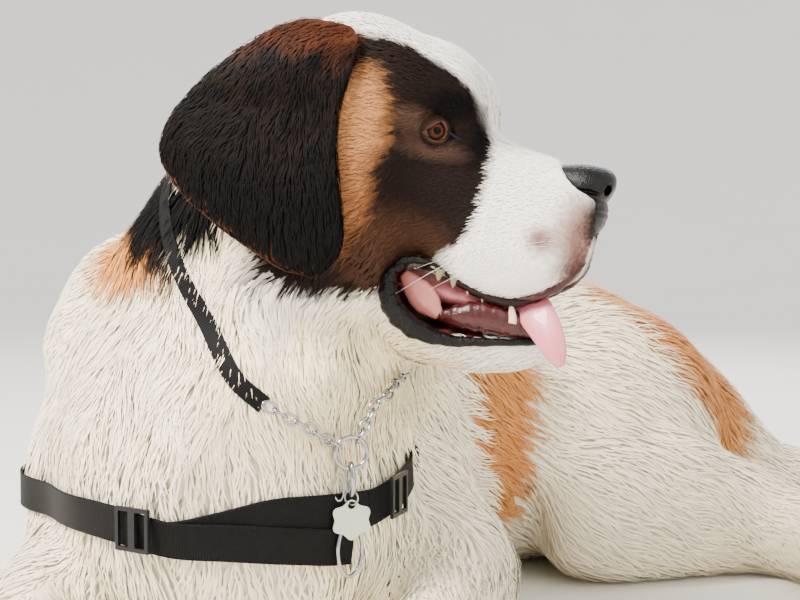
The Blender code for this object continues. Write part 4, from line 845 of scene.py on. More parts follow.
    def dress(
        self, obj: bpy.types.Object, patch: Array, roots: Array, rings: int, rng: np.random.Generator
    ) -> None:
        """Gives the blades their maps, colours and material.

        OFBake lays each blade as a small patch at its root's place on the skin's unwrap. Strand
        runs across and along each blade, shifted at random.

        Args:
            obj: The blades.
            patch: Each root's place on the skin's unwrap.
            roots: Each blade's root.
            rings: The number of rings of a blade.
            rng: The piece's random draw.
        """
        one = Coat.blade_faces(rings).ravel()
        along = np.append(np.repeat(np.arange(rings) / rings, 3), 1.0)
        across = np.append(np.tile([0.0, 1.0, 0.5], rings), 0.5)
        flat = np.stack([across - 0.5, along - 0.5], -1)[one]
        uv_map(obj, "OFBake", (patch[:, None] + flat[None] * BAKE_PATCH).reshape(-1, 2))
        strand = np.stack([across, along], -1)[one]
        uv_map(obj, "Strand", (strand[None] + rng.uniform(0, 40, (len(roots), 1, 2))).reshape(-1, 2))
        colours = self.colour_of(roots) * rng.uniform(*self.shades, (len(roots), 1))
        coat_colours(obj, np.repeat(colours, len(along), 0).clip(0, 1), np.tile(along, len(roots)))
        obj.data.materials.append(self.material)


class Nodes:
    """A new material and the nodes that make it."""

    def __init__(self, name: str) -> None:
        """Makes the material, which starts with its shader."""
        self.material = bpy.data.materials.new(name)
        self.material.use_nodes = True
        self.tree = self.material.node_tree

    def add(self, kind: str, inputs: dict, out: int | str = 0, **facts: str) -> bpy.types.NodeSocket:
        """Adds a node.

        Args:
            kind: The node's type, without the word that all have in front.
            inputs: Values or sockets for its inputs, by name or number.
            out: The name or number of the output that is wanted.
            **facts: Values for its own attributes.

        Returns:
            That output.
        """
        node = self.tree.nodes.new("ShaderNode" + kind)
        for fact, value in facts.items():
            setattr(node, fact, value)
        self.fill(node, inputs)
        return node.outputs[out]

    def fill(self, node: bpy.types.Node, inputs: dict) -> None:
        """Gives a node's inputs their values, and links those that are another node's output."""
        for place, value in inputs.items():
            if isinstance(value, bpy.types.NodeSocket):
                self.tree.links.new(value, node.inputs[place])
            else:
                node.inputs[place].default_value = value

    def times(
        self, value: bpy.types.NodeSocket, factor: bpy.types.NodeSocket | float
    ) -> bpy.types.NodeSocket:
        """Returns the product of two values."""
        return self.add("Math", {0: value, 1: factor}, operation="MULTIPLY")

    def tinted(self, colour: bpy.types.NodeSocket | tuple, by: bpy.types.NodeSocket) -> bpy.types.NodeSocket:
        """Returns the product of a colour and a value."""
        return self.add("MixRGB", {"Fac": 1, "Color1": colour, "Color2": by}, blend_type="MULTIPLY")

    def mapped(
        self, value: bpy.types.NodeSocket, to: tuple[float, float], source: tuple[float, float] = (0.0, 1.0)
    ) -> bpy.types.NodeSocket:
        """Returns a value of the source range moved to the range `to`."""
        low, high = source
        return self.add(
            "MapRange", {"Value": value, "From Min": low, "From Max": high, "To Min": to[0], "To Max": to[1]}
        )

    def ramp(self, value: bpy.types.NodeSocket, stops: tuple) -> bpy.types.NodeSocket:
        """Adds a colour ramp with stops of place and display colour, and returns its colour."""
        node = self.tree.nodes.new("ShaderNodeValToRGB")
        self.fill(node, {"Fac": value})
        elements = node.color_ramp.elements
        first, *middle, last = stops
        for element, (place, colour) in zip(elements, (first, last)):
            element.position = place
            element.color = (*linear(*colour), 1)
        for place, colour in middle:
            elements.new(place).color = (*linear(*colour), 1)
        return node.outputs["Color"]

    def shaded(self, inputs: dict) -> bpy.types.Material:
        """Gives the shader's inputs their values and returns the material."""
        self.fill(self.tree.nodes["Principled BSDF"], inputs)
        return self.material


@dataclass(frozen=True)
class Finish:
    """A procedural finish.

    Attributes:
        colour: Display colour, 0 to 255.
        roughness: How rough it is.
        metallic: 1 for bare metal.
        grain: The size of its noise, in metres.
        bump: How deep the noise is, in metres.
        change: How much the noise changes the colour.
        coat: How strong its wet coat is.
        shine: How much it mirrors.
    """

    colour: tuple[float, float, float]
    roughness: float
    metallic: float = 0.0
    grain: float = 0.004
    bump: float = 0.0001
    change: float = 0.15
    coat: float = 0.0
    shine: float = 0.5

    def made(self, name: str) -> bpy.types.Material:
        """Returns the finish as a material that reads Object coordinates."""
        nodes = Nodes(name)
        where = nodes.add("TexCoord", {}, "Object")
        noise = nodes.add("TexNoise", {"Scale": 1 / self.grain, "Detail": 6, "Vector": where})
        change = nodes.mapped(noise, (1 - self.change, 1 + self.change))
        return nodes.shaded({
            "Base Color": nodes.tinted((*linear(*self.colour), 1), change),
            "Normal": nodes.add("Bump", {"Distance": self.bump, "Height": noise}),
            "Roughness": self.roughness, "Metallic": self.metallic, "Coat Weight": self.coat,
            "Specular IOR Level": self.shine,
        })


def fur_material(name: str, with_strands: bool) -> bpy.types.Material:
    """Returns the coat's material: the Coat colours, darker at the roots as painted shade deep in the coat,
    with fine strands by bump.
    """
    nodes = Nodes(name)
    tint = nodes.add("VertexColor", {}, layer_name="Coat")
    look = {
        "Base Color": tint, "Roughness": 0.6, "Specular IOR Level": 0.08, "Sheen Weight": 0.02,
        "Sheen Roughness": 0.4,
    }
    if with_strands:
        where = nodes.add("UVMap", {}, uv_map="Strand")
        stretched = nodes.add("Mapping", {"Scale": (7.0, 0.8, 1.0), "Vector": where})
        noise = nodes.add("TexNoise", {"Scale": 1.0, "Detail": 3, "Vector": stretched})
        shade = nodes.mapped(noise, (0.93, 1.05), (0.3, 0.7))
        # Darker towards each tuft's root: painted shade deep in the coat.
        root = nodes.mapped(tint.node.outputs["Alpha"], (0.97, 1.0), (0.0, 0.5))
        look["Base Color"] = nodes.tinted(tint, nodes.times(shade, root))
        look["Normal"] = nodes.add("Bump", {"Distance": 0.0004, "Strength": 0.4, "Height": noise})
    return nodes.shaded(look)


TUFTS = {
    Piece.FACE: TuftSizes(19800, 2, 0.16, fine=0.85),
    Piece.CROWN: TuftSizes(14500, 2, 0.2, 0.010),
    Piece.RUFF_RIGHT: TuftSizes(12400, 3, 0.22, 0.016, 0.36, 0.62),
    Piece.RUFF_LEFT: TuftSizes(8000, 3, 0.20, 0.016, 0.30, 0.7),
    Piece.CHEST: TuftSizes(12400, 3, 0.22, 0.018, 0.36, 0.68),
    Piece.FLANK_LEFT: TuftSizes(12400, 3, 0.20, 0.020, 0.25, 0.65),
    Piece.FLANK_RIGHT: TuftSizes(14000, 2, 0.20, 0.020, 0.25, 0.75),
    Piece.TAIL: TuftSizes(6500, 3, 0.20, 0.020, 0.25, 0.8),
}
EAR_TUFTS = TuftSizes(8200, 2, 0.16, 0.010, 0.2, 0.8)
EYE_CORNER = (
    (0.0075, 0.0465, 0.0005), (0.0125, 0.0432, -0.0022), (0.0175, 0.0412, -0.0042), (0.0225, 0.0402, -0.0056),
)
EYE_BARE = ((0.002, 0.050, 0.0), (0.020, 0.02, 0.0135))
# The mouth's upper and lower edge, and how far out its side lies, at places from back to front.
MOUTH_TOP = (
    (-0.02, -0.01, 0.02, 0.06, 0.10, 0.13, 0.15), (-0.11, -0.108, -0.106, -0.121, -0.119, -0.098, -0.075),
)
MOUTH_LOW = ((-0.02, 0.0, 0.03, 0.06, 0.10, 0.125), (-0.13, -0.148, -0.160, -0.156, -0.151, -0.151))
MOUTH_SIDE = ((-0.004, 0.018, 0.045, 0.080, 0.106, 0.120), (0.046, 0.052, 0.045, 0.037, 0.026, 0.010))


def paw_axes() -> list[tuple[Array, Array, Array]]:
    """Returns for each paw its middle, the way it points and the way across it."""
    made = []
    for heart, way in PAWS:
        ahead = unit(np.array(way))
        made.append((np.array(heart), ahead, np.array([-ahead[1], ahead[0], 0.0])))
    return made


FLESH = (
    "torso", "neck", "tail", "foreleg_left", "foreleg_right", "hindleg_left", "hindleg_right", "head",
    "lower_jaw",
)


@dataclass(frozen=True)
class Borders:
    """Where the pieces of coat meet.

    Attributes:
        head: The head's rear, `jaw` its lower and `cheek` its outer border, in the head's frame.
        face: Where the face begins, in the head's frame.
        front: The rear of the neck and the chest, in the model's frame like all that follow.
        right: Where the right flank begins.
        tail: Where the tail begins.
        ruff: The ruff's lower border.
        split: The slope and place of the line between the ruff's right and left half.
        floor: The height under which nothing grows.
    """

    head: float = -0.125
    jaw: float = -0.20
    cheek: float = 0.16
    face: float = -0.02
    front: float = 0.16
    right: float = -0.06
    tail: float = 0.78
    ruff: float = 0.25
    split: tuple[float, float] = (0.62, 0.02)
    floor: float = 0.004


@dataclass(frozen=True)
class DogSizes:
    """How the skin is made.

    Attributes:
        voxel: The size of the skin's voxels.
        passes: The passes of evening away from the paws.
        paw_passes: The passes of evening on the paws.
        body_passes: The passes of evening where the coat is long.
        rounds: How many times over the ends of the CAD's locks are taken off.
        grown: How far long-coated nodes grow before they are joined.
        locks: How far the outline stands out over the evened surface.
        groove: The depth and half width of the grooves between the toes.
        lines: Where the grooves lie across a paw.
        splay: How much further apart they are with each metre ahead, as a share.
        toes: How far ahead of the paw's middle the grooves have their full depth.
        paw: How far a paw reaches from its middle, and over what width that fades.
        long: The coat's depth from which it counts as long, and over what width that rises.
    """

    voxel: float = 0.0044
    passes: int = 10
    paw_passes: int = 2
    body_passes: int = 20
    rounds: int = 4
    grown: float = 0.003
    locks: float = 0.001
    groove: tuple[float, float] = (0.0060, 0.0045)
    lines: tuple[float, float, float] = (-0.0255, 0.0, 0.0255)
    splay: float = 2.5
    toes: float = 0.030
    paw: tuple[float, float] = (0.085, 0.02)
    long: tuple[float, float] = (0.0028, 0.002)


@dataclass(frozen=True)
class EyeSizes:
    """Sizes of an eye.

    Attributes:
        at: The ball's middle in the head's frame, for the left eye.
        radius: The ball's radius.
        turn: How far its gaze turns out from straight ahead.
        iris: The iris's radius.
        pupil: The pupil's radius.
        margin: The lids' opening, as degrees about the gaze from the nose's side and distances from it.
        hollow: How far from the gaze the skin is pressed back, over what width that fades, and how far
            out from the ball's middle it then lies.
        clear: How far the lids' inner side is from the ball.
        far: The lids' outer edge, as half its width and half its height.
        shares: How far from the opening to the outer edge each corner of the lids' section is.
        heights: How far it stands out there.
    """

    at: tuple[float, float, float] = (-0.006, 0.0400, -0.001)
    radius: float = 0.0125
    turn: float = math.radians(60.0)
    iris: float = 0.0074
    pupil: float = 0.0030
    margin: tuple[tuple[float, float], ...] = (
        (0, 0.0112), (30, 0.0108), (52, 0.0116), (62, 0.0104), (75, 0.0082), (90, 0.0062), (120, 0.0050),
        (150, 0.0052), (170, 0.0062), (185, 0.0082), (199, 0.0118), (213, 0.0102), (240, 0.0083),
        (262, 0.0078), (285, 0.0080), (315, 0.0092), (338, 0.0106))
    hollow: tuple[float, float, float] = (0.0150, 0.0025, 0.006)
    clear: float = 0.0004
    far: tuple[float, float] = (0.0185, 0.0165)
    shares: tuple[float, ...] = (0.03, 0.0, 0.0, 0.10, 0.30, 0.6, 1.0, 1.0)
    heights: tuple[float, ...] = (0.0, 0.0004, 0.0016, 0.0024, 0.0026, 0.0024, -0.0004, -0.0050)


class Dog:
    """The skin and the coat of the whole dog."""

    def __init__(self, sizes: DogSizes = DogSizes()) -> None:
        """Makes the hull of the CAD flesh, and the skin inside it by the coat's depth."""
        self.sizes = sizes
        self.lie = Lie(head_guides(HEAD_ROWS) + body_guides() + limb_guides())
        self.hull = hull = Hull(
            "skin", FLESH, sizes.voxel, sizes.paw_passes, lambda at: LEAST_GROWN + sizes.grown * self.long(at)
        )
        hull.sanded(self.long(hull.points), sizes.rounds, sizes.body_passes)
        hull.remade(sizes.paw_passes)
        self.shape_paws()
        depth = self.lie.near(hull.points)[:, 4:5]
        long = self.long(hull.points)
        hull.points = hull.points * (1 - long) + hull.relaxed(hull.points, sizes.body_passes) * long
        normals = hull.relaxed(hull.normals(), 4)
        hull.points = hull.points + normals * sizes.locks * long
        self.outline = hull.tree()
        hull.points = hull.relaxed(hull.points - normals * depth, 2)
        hull.points[:, 2] = np.maximum(hull.points[:, 2], SKIN_CLEAR)
        self.hollow_eyes(EyeSizes())
        # The skin is the coat's colour times 0.93: painted shade in the gaps between the tufts.
        colours = self.mouth_colours(markings(hull.points) * 0.93)
        self.skin = hull.skin("skin", colours, fur_material("skin", with_strands=False))
        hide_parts(*FLESH)

    def shape_paws(self) -> None:
        """Evens everything but the paws, and presses three grooves into each paw, between its toes."""
        sizes, points = self.sizes, self.hull.points
        even = self.hull.relaxed(points, sizes.passes)
        paws, notch = np.zeros((2, len(points)))
        deep, wide = sizes.groove
        reach, width = sizes.paw
        for heart, ahead, across in paw_axes():
            away = points - heart
            forward, aside = away @ ahead, away @ across
            near = fade(-np.linalg.norm(away, axis=1), -reach, width)
            paws = np.maximum(paws, near)
            for line in sizes.lines:
                gap = (aside - line * (1 + sizes.splay * forward)) / wide
                notch += np.exp(-(gap**2)) * np.clip(forward / sizes.toes, 0, 1) * near
        even = even * (1 - paws[:, None]) + self.hull.relaxed(points, sizes.paw_passes) * paws[:, None]
        self.hull.points = even
        self.hull.points = even - self.hull.normals() * (deep * notch)[:, None]

    def hollow_eyes(self, sizes: EyeSizes) -> None:
        """Presses the skin back into the eyeballs where the lids stand before it."""
        local = to_head(self.hull.points)
        reach, width, left = sizes.hollow
        for side in (-1, 1):
            out = np.array([math.cos(sizes.turn), side * math.sin(sizes.turn), 0.0])
            away = local - np.array([sizes.at[0], side * sizes.at[1], sizes.at[2]])
            ahead = away @ out
            apart = np.linalg.norm(away - ahead[:, None] * out, axis=1)
            share = fade(-apart, -reach, width) * (ahead > 0) * (ahead < 2 * reach)
            local = local - out * (share * np.clip(ahead - left, 0, None))[:, None]
        self.hull.points = from_head(local)

    def long(self, points: Array) -> Array:
        """Returns how much the coat counts as long at points, 0 to 1, by its depth there."""
        return fade(self.lie.near(points)[:, 4:5], *self.sizes.long)

    def mouth_colours(self, colours: Array) -> Array:
        """Returns the skin's colours with the inside of the mouth pink to dark red."""
        pale = waves(self.hull.points, 0.01, 4)[:, None] > 0.2
        flesh = np.where(pale, linear(104, 48, 48), linear(58, 24, 24))
        return np.where(self.in_mouth(to_head(self.hull.points))[:, None], flesh, colours)

    @staticmethod
    def in_mouth(local: Array) -> Array:
        """Returns whether points of the head's frame lie in the mouth, or behind the lower lip's edge."""
        ahead, aside, up = folded(local).T
        top, low, edge = (np.interp(ahead, *line) for line in (MOUTH_TOP, MOUTH_LOW, MOUTH_SIDE))
        open_part = (up > low + 0.001) & (aside < 0.058)
        behind = (up > low - 0.009) & (aside < edge - 0.003)
        return (open_part | behind) & (up < top - 0.002) & (ahead > -0.015) & (ahead < 0.15)

    def regions(self, borders: Borders = Borders()) -> dict[Piece, Array]:
        """Returns for each piece of coat the weight of the skin's faces."""
        middle = self.hull.points[self.hull.faces].mean(1)
        local = to_head(middle)
        ahead, aside, up = folded(local).T
        x, y, z = middle.T
        eye = np.linalg.norm((folded(local) - EYE_BARE[0]) / np.array(EYE_BARE[1]), axis=1) < 1
        nose = (ahead > 0.098) & (up > -0.047) & (aside < 0.032) & (up > -0.16 + ahead)
        bare = self.in_mouth(local) | eye | nose | (z < borders.floor)
        head = (ahead > borders.head) & (up > borders.jaw) & (aside < borders.cheek)
        face = head & (ahead > borders.face)
        front, right, tail = y < borders.front, x < borders.right, y > borders.tail
        ruff = ~head & front & (z >= borders.ruff)
        near = x * borders.split[0] - y > borders.split[1]
        made = {
            Piece.FACE: face & ~bare,
            Piece.CROWN: head & ~face & ~bare,
            Piece.RUFF_RIGHT: ruff & near,
            Piece.RUFF_LEFT: ruff & ~near,
            Piece.CHEST: ~head & front & ~ruff & ~bare,
            Piece.FLANK_LEFT: ~front & ~right & ~tail & ~bare,
            Piece.FLANK_RIGHT: ~front & right & ~tail & ~bare,
            Piece.TAIL: tail & ~bare,
        }
        return {piece: value.astype(float) for piece, value in made.items()}

    def grow(self) -> None:
        """Grows the coat, shortest and finest on the face."""
        coat = Coat(self.hull, self.skin, self.lie, markings, fur_material("coat", with_strands=True))
        for seed, (piece, weight) in enumerate(self.regions().items()):
            made = coat.grow(f"coat_{piece.value}", weight, TUFTS[piece], SEED + seed)
            LOG.info("%s: %d triangles", piece.value, len(made.data.polygons))


class Ears:
    """Both ears: a leather and its coat."""

    voxel = 0.0022
    passes = 8
    depth = 0.0012

    def __init__(self) -> None:
        """Makes each ear from its CAD node."""
        lie = Lie(head_guides(EAR_ROWS))
        material = fur_material("ear_skin", with_strands=False)
        fur = fur_material("ear_coat", with_strands=True)
        for seed, node in enumerate(("ear_right", "ear_left")):
            hull = Hull(node + "_leather", (node,), self.voxel, self.passes)
            hull.points = hull.points - hull.normals() * self.depth
            leather = hull.skin(node + "_leather", ear_markings(hull.points), material)
            coat = Coat(hull, leather, lie, ear_markings, fur)
            coat.grow(f"{node}_coat", np.ones(len(hull.faces)), EAR_TUFTS, SEED + 40 + seed)
            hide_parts(node)


class Eyes:
    """The two eyes with their lids."""

    def __init__(self, sizes: EyeSizes = EyeSizes()) -> None:
        """Makes ball and lids on each side."""
        self.sizes = sizes
        ball = self.ball_material()
        lid = Finish((66, 48, 41), 0.6, grain=0.0012, bump=0.0003, change=0.45, shine=0.2).made("lid")
        dark = Finish((8, 5, 5), 0.5, grain=0.002, bump=0.0001, shine=0.2).made("eye_corner")
        for side, name in ((-1, "right"), (1, "left")):
            axes, at = self.placed(side)
            eye = self.ball(f"eyeball_{name}", axes, at)
            eye.data.materials.append(ball)
            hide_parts(f"eye_{name}")
            self.lids(f"lids_{name}", axes, at).data.materials.append(lid)
            self.corner(f"eye_corner_{name}", side, dark)

    def placed(self, side: int) -> tuple[Array, Array]:
        """Returns the eye's axes as columns, across, up and out, and its middle, in the model's frame."""
        s = self.sizes
        angle = side * s.turn
        out = np.array([math.cos(angle), math.sin(angle), 0.0])
        across = np.array([-math.sin(angle), math.cos(angle), 0.0]) * -side
        up = np.array([0.0, 0.0, 1.0])
        axes = HEAD_AXES @ np.stack([across, up, out], 1)
        return axes, from_head(np.array([s.at[0], side * s.at[1], s.at[2]]))

    def ball(self, name: str, axes: Array, at: Array) -> bpy.types.Object:
        """Makes the ball as rings about its gaze, the cornea raised over the iris."""
        polar = np.concatenate([np.linspace(0.02, 0.9, 30), np.linspace(1.0, 3.12, 22)])
        turn = circle(48)
        radius = self.sizes.radius * (1 + 0.045 * np.clip(1 - (polar / 0.62) ** 2, 0, None))
        across, ahead = np.sin(polar)[:, None], np.cos(polar)[:, None]
        ring = np.stack([across * np.cos(turn), across * np.sin(turn), ahead * np.ones_like(turn)], -1)
        rings = (ring * radius[:, None, None]) @ axes.T + at
        obj = capped(name, rings if np.linalg.det(axes) < 0 else rings[:, ::-1])
        flat = obj.data.attributes.new("Polar", "FLOAT", "POINT")
        behind = (polar > 1.57) * 0.05
        values = np.append(np.repeat(np.sin(polar) * self.sizes.radius + behind, len(turn)), [0.0, 0.1])
        flat.data.foreach_set("value", values.astype(np.float32))
        return obj

    def ball_material(self) -> bpy.types.Material:
        """Returns the wet ball's material: pupil, brown iris with a dark rim, and a dull white."""
        pupil, iris = self.sizes.pupil / self.sizes.radius, self.sizes.iris / self.sizes.radius
        nodes = Nodes("eye")
        polar = nodes.add("Attribute", {}, "Fac", attribute_name="Polar")
        share = nodes.times(polar, 1 / self.sizes.radius)
        stops = (
            (0.0, (4, 3, 3)), (pupil, (5, 4, 3)), (pupil + 0.03, (76, 40, 25)), (iris - 0.10, (48, 25, 17)),
            (iris - 0.02, (14, 8, 7)), (iris + 0.06, (96, 70, 62)), (0.9, (146, 108, 98)),
        )
        return nodes.shaded({
            "Base Color": nodes.ramp(share, stops), "Roughness": 0.3, "Specular IOR Level": 0.06,
            "Coat Weight": 0.05, "Coat Roughness": 0.03,
        })

    @staticmethod
    def corner(name: str, side: int, material: bpy.types.Material) -> None:
        """Makes the dark wet corner towards the nose, a thin body that tapers to both ends."""
        path = from_head(smooth(np.array(EYE_CORNER), 6) * np.array([1.0, side, 1.0]))
        _, across, up = frames(path, HEAD_AXES[:, 2])
        girth = 0.0019 * np.sin(np.linspace(0.35, math.pi - 0.12, len(path))) ** 0.8
        capped(name, (path[:, None] + around(across, up, 12) * girth[:, None, None])[:, ::-1], material)

    def lids(self, name: str, axes: Array, at: Array) -> bpy.types.Object:
        """Makes the lids: a shell round the ball with an almond opening, thick and round at its margin.

        A section runs from inside the margin out over the ball and down into the face. Its
        distance from the gaze grows from the almond's edge to the shell's own edge.
        """
        s = self.sizes
        turn = circle(72)
        degrees, reach = np.array(s.margin).T
        open_by = np.interp(np.degrees(turn), degrees, reach, period=360)
        edge = open_by[:, None] * np.stack([np.cos(turn), np.sin(turn)], -1)
        far = np.stack([s.far[0] * np.cos(turn), s.far[1] * np.sin(turn) + 0.001], -1)
        share = np.array(s.shares)[:, None, None]
        flat = edge[None] * (1 - share) + far[None] * share
        over = np.sqrt(np.clip((s.radius + s.clear) ** 2 - (flat**2).sum(-1), (0.3 * s.radius) ** 2, None))
        local = np.concatenate([flat, (over + np.array(s.heights)[:, None])[..., None]], -1)
        inner = local[0] * np.array([1.04, 1.04, 1.0]) - np.array([0, 0, 0.003])
        back = local[-1] * np.array([0.9, 0.9, 1.0]) - np.array([0, 0, 0.002])
        rings = np.concatenate([local, back[None], inner[None]]) @ axes.T + at
        flip = np.linalg.det(axes) < 0
        faces = tube_faces(len(rings), len(turn), closed=True)
        return mesh_object(name, rings.reshape(-1, 3), faces if flip else faces[:, ::-1])


def refined(node: str, name: str, levels: int, material: bpy.types.Material) -> bpy.types.Object:
    """Makes a smooth piece from a CAD node's merged copy, with as many subdivisions."""
    mesh = merged_copy(node, name)
    mesh.shade_smooth()
    mesh.materials.append(material)
    obj = in_scene(name, mesh)
    if levels:
        rounder = obj.modifiers.new("rounder", "SUBSURF")
        rounder.levels = rounder.render_levels = levels
    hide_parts(node)
    return obj


class Claws:
    """The four claws of each paw, dark horn that bends down to the floor.

    Attributes:
        reach: How far a claw reaches, and how far ahead of the toe's middle it starts.
        drop: How far its tip lies below its root, and `bend` the power by which it gets there.
        height: How high its root is.
        girth: Its radius at the root.
        narrow: How wide it is as a share of its height.
        apart: A factor on the distance between the toes.
    """

    reach = 0.014
    drop = 0.0125
    bend = 1.6
    height = 0.0185
    girth = 0.0042
    narrow = 0.8
    apart = 1.05

    def __init__(self) -> None:
        """Makes every claw along a bent path that starts in the toe's tip."""
        horn = Finish((88, 76, 66), 0.42, grain=0.003, bump=0.0001, change=0.4).made("claw")
        share = np.linspace(0, 1, 9)[:, None]
        up = np.array([0.0, 0.0, 1.0])
        girth = self.girth * np.clip(1.02 - share[:, 0] ** 1.5, 0.05, 1)
        for k, (heart, ahead, across) in enumerate(paw_axes()):
            ring = around(across[None] * self.narrow, up[None], 12) * girth[:, None, None]
            for forward, aside in TOES:
                for side in (-1, 1):
                    root = heart + ahead * (forward + self.reach) + across * side * aside * self.apart
                    root[2] = self.height
                    path = root + ahead * self.reach * share - up * self.drop * share**self.bend
                    capped(f"claw_{k}_{side * round(aside * 1e4)}", path[:, None] + ring, horn)


class Flesh(Enum):
    """The materials of the mouth and the nose, by name."""

    LIP = "lip"
    INNER = "inner_cheek"
    GUM = "gum"
    # The upper gum, darkened almost to black: painted shade under the upper lip.
    SHADE = "upper_gum_painted_shade"
    TOOTH = "tooth"
    # The upper cheek teeth: the tooth's colour made darker and greener as painted shade inside the mouth.
    BACK = "shaded_back_tooth"
    TONGUE = "tongue"
    NOSE = "nose"


FINISHES = {
    Flesh.LIP: Finish((13, 10, 11), 0.36, grain=0.0032, bump=0.0018, change=0.5, shine=0.2),
    Flesh.INNER: Finish((178, 108, 100), 0.34, grain=0.012, bump=0.0003, change=0.25, coat=0.4),
    Flesh.GUM: Finish((60, 22, 24), 0.28, grain=0.007, bump=0.0016, change=0.7, coat=0.12, shine=0.35),
    # The upper gum, darkened almost to black: painted shade under the upper lip.
    Flesh.SHADE: Finish((30, 10, 11), 0.4, grain=0.006, bump=0.0006, change=0.5, shine=0.2),
    Flesh.TOOTH: Finish((214, 196, 164), 0.3, grain=0.01, change=0.1, coat=0.4),
    # The tooth's colour made darker and greener: painted shade inside the mouth.
    Flesh.BACK: Finish((128, 122, 88), 0.4, grain=0.004, change=0.3),
    Flesh.TONGUE: Finish((202, 114, 124), 0.34, grain=0.0016, bump=0.0003, change=0.12, coat=0.3),
    Flesh.NOSE: Finish((8, 6, 7), 0.34, grain=0.0015, bump=0.0007, change=0.3, shine=0.22),
}


@dataclass(frozen=True)
class Roll:
    """A crinkled roll of flesh.

    Attributes:
        name: Its name.
        flesh: Its material.
        path: Its waypoints, in the head's frame.
        girth: Its radius at each waypoint.
        wide: How many times wider than high it is.
        crinkled: A factor on its crinkles.
    """

    name: str
    flesh: Flesh
    path: tuple[tuple[float, float, float], ...]
    girth: tuple[float, ...]
    wide: float = 1.0
    crinkled: float = 1.0


SIDE_ROLLS = (
    Roll("lower_lip", Flesh.LIP, (
        (-0.004, 0.050, -0.112), (-0.013, 0.053, -0.121), (-0.011, 0.056, -0.138), (-0.001, 0.057, -0.151),
        (0.018, 0.055, -0.161), (0.045, 0.048, -0.164), (0.080, 0.040, -0.158), (0.106, 0.029, -0.153),
        (0.120, 0.012, -0.151)), (0.0040, 0.0068, 0.0086, 0.0090, 0.0082, 0.0050, 0.0036, 0.0032, 0.0028)),
    Roll("corner_lip", Flesh.LIP, (
        (-0.012, 0.050, -0.116), (-0.006, 0.050, -0.109), (0.010, 0.049, -0.1055), (0.026, 0.047, -0.1085)),
        (0.003, 0.0036, 0.003, 0.001)),
    Roll("front_lip", Flesh.GUM, (
        (0.092, 0.044, -0.1190), (0.106, 0.042, -0.1140), (0.119, 0.037, -0.1040), (0.130, 0.027, -0.0890),
        (0.134, 0.012, -0.0810)), (0.001, 0.003, 0.0042, 0.0034, 0.0018)),
    # The upper gum, darkened almost to black: painted shade under the upper lip.
    Roll("upper_gum_painted_shade", Flesh.SHADE, (
        (0.018, 0.040, -0.1060), (0.041, 0.039, -0.1160), (0.063, 0.039, -0.1210), (0.084, 0.038, -0.1220),
        (0.103, 0.035, -0.1160), (0.118, 0.030, -0.1060)), (0.003, 0.005, 0.006, 0.006, 0.005, 0.003)),
    Roll("inner_cheek", Flesh.INNER, (
        (-0.006, 0.038, -0.1200), (0.006, 0.038, -0.1300), (0.018, 0.038, -0.1390), (0.030, 0.037, -0.1480)),
        (0.0070, 0.0110, 0.0120, 0.0070), 0.4, 0.3),
    Roll("inner_lip", Flesh.GUM, (
        (0.030, 0.037, -0.1480), (0.046, 0.038, -0.1440), (0.062, 0.036, -0.1410), (0.080, 0.033, -0.1405),
        (0.098, 0.028, -0.1430), (0.114, 0.016, -0.1460)),
        (0.0060, 0.0105, 0.0130, 0.0130, 0.0115, 0.0080), 0.65, 0.8),
)
MIDDLE_ROLLS = (
    Roll("mouth_floor", Flesh.GUM, (
        (-0.002, 0.0, -0.136), (0.030, 0.0, -0.150), (0.070, 0.0, -0.152), (0.104, 0.0, -0.147)),
        (0.010, 0.012, 0.012, 0.008), 2.6),
    Roll("nose_base", Flesh.NOSE, (
        (0.125, 0.0, -0.024), (0.1265, 0.0, -0.034), (0.1275, 0.0, -0.044), (0.128, 0.0, -0.053),
        (0.128, 0.0, -0.060)), (0.0140, 0.0152, 0.0148, 0.0128, 0.0080), 2.05, 0.3),
)


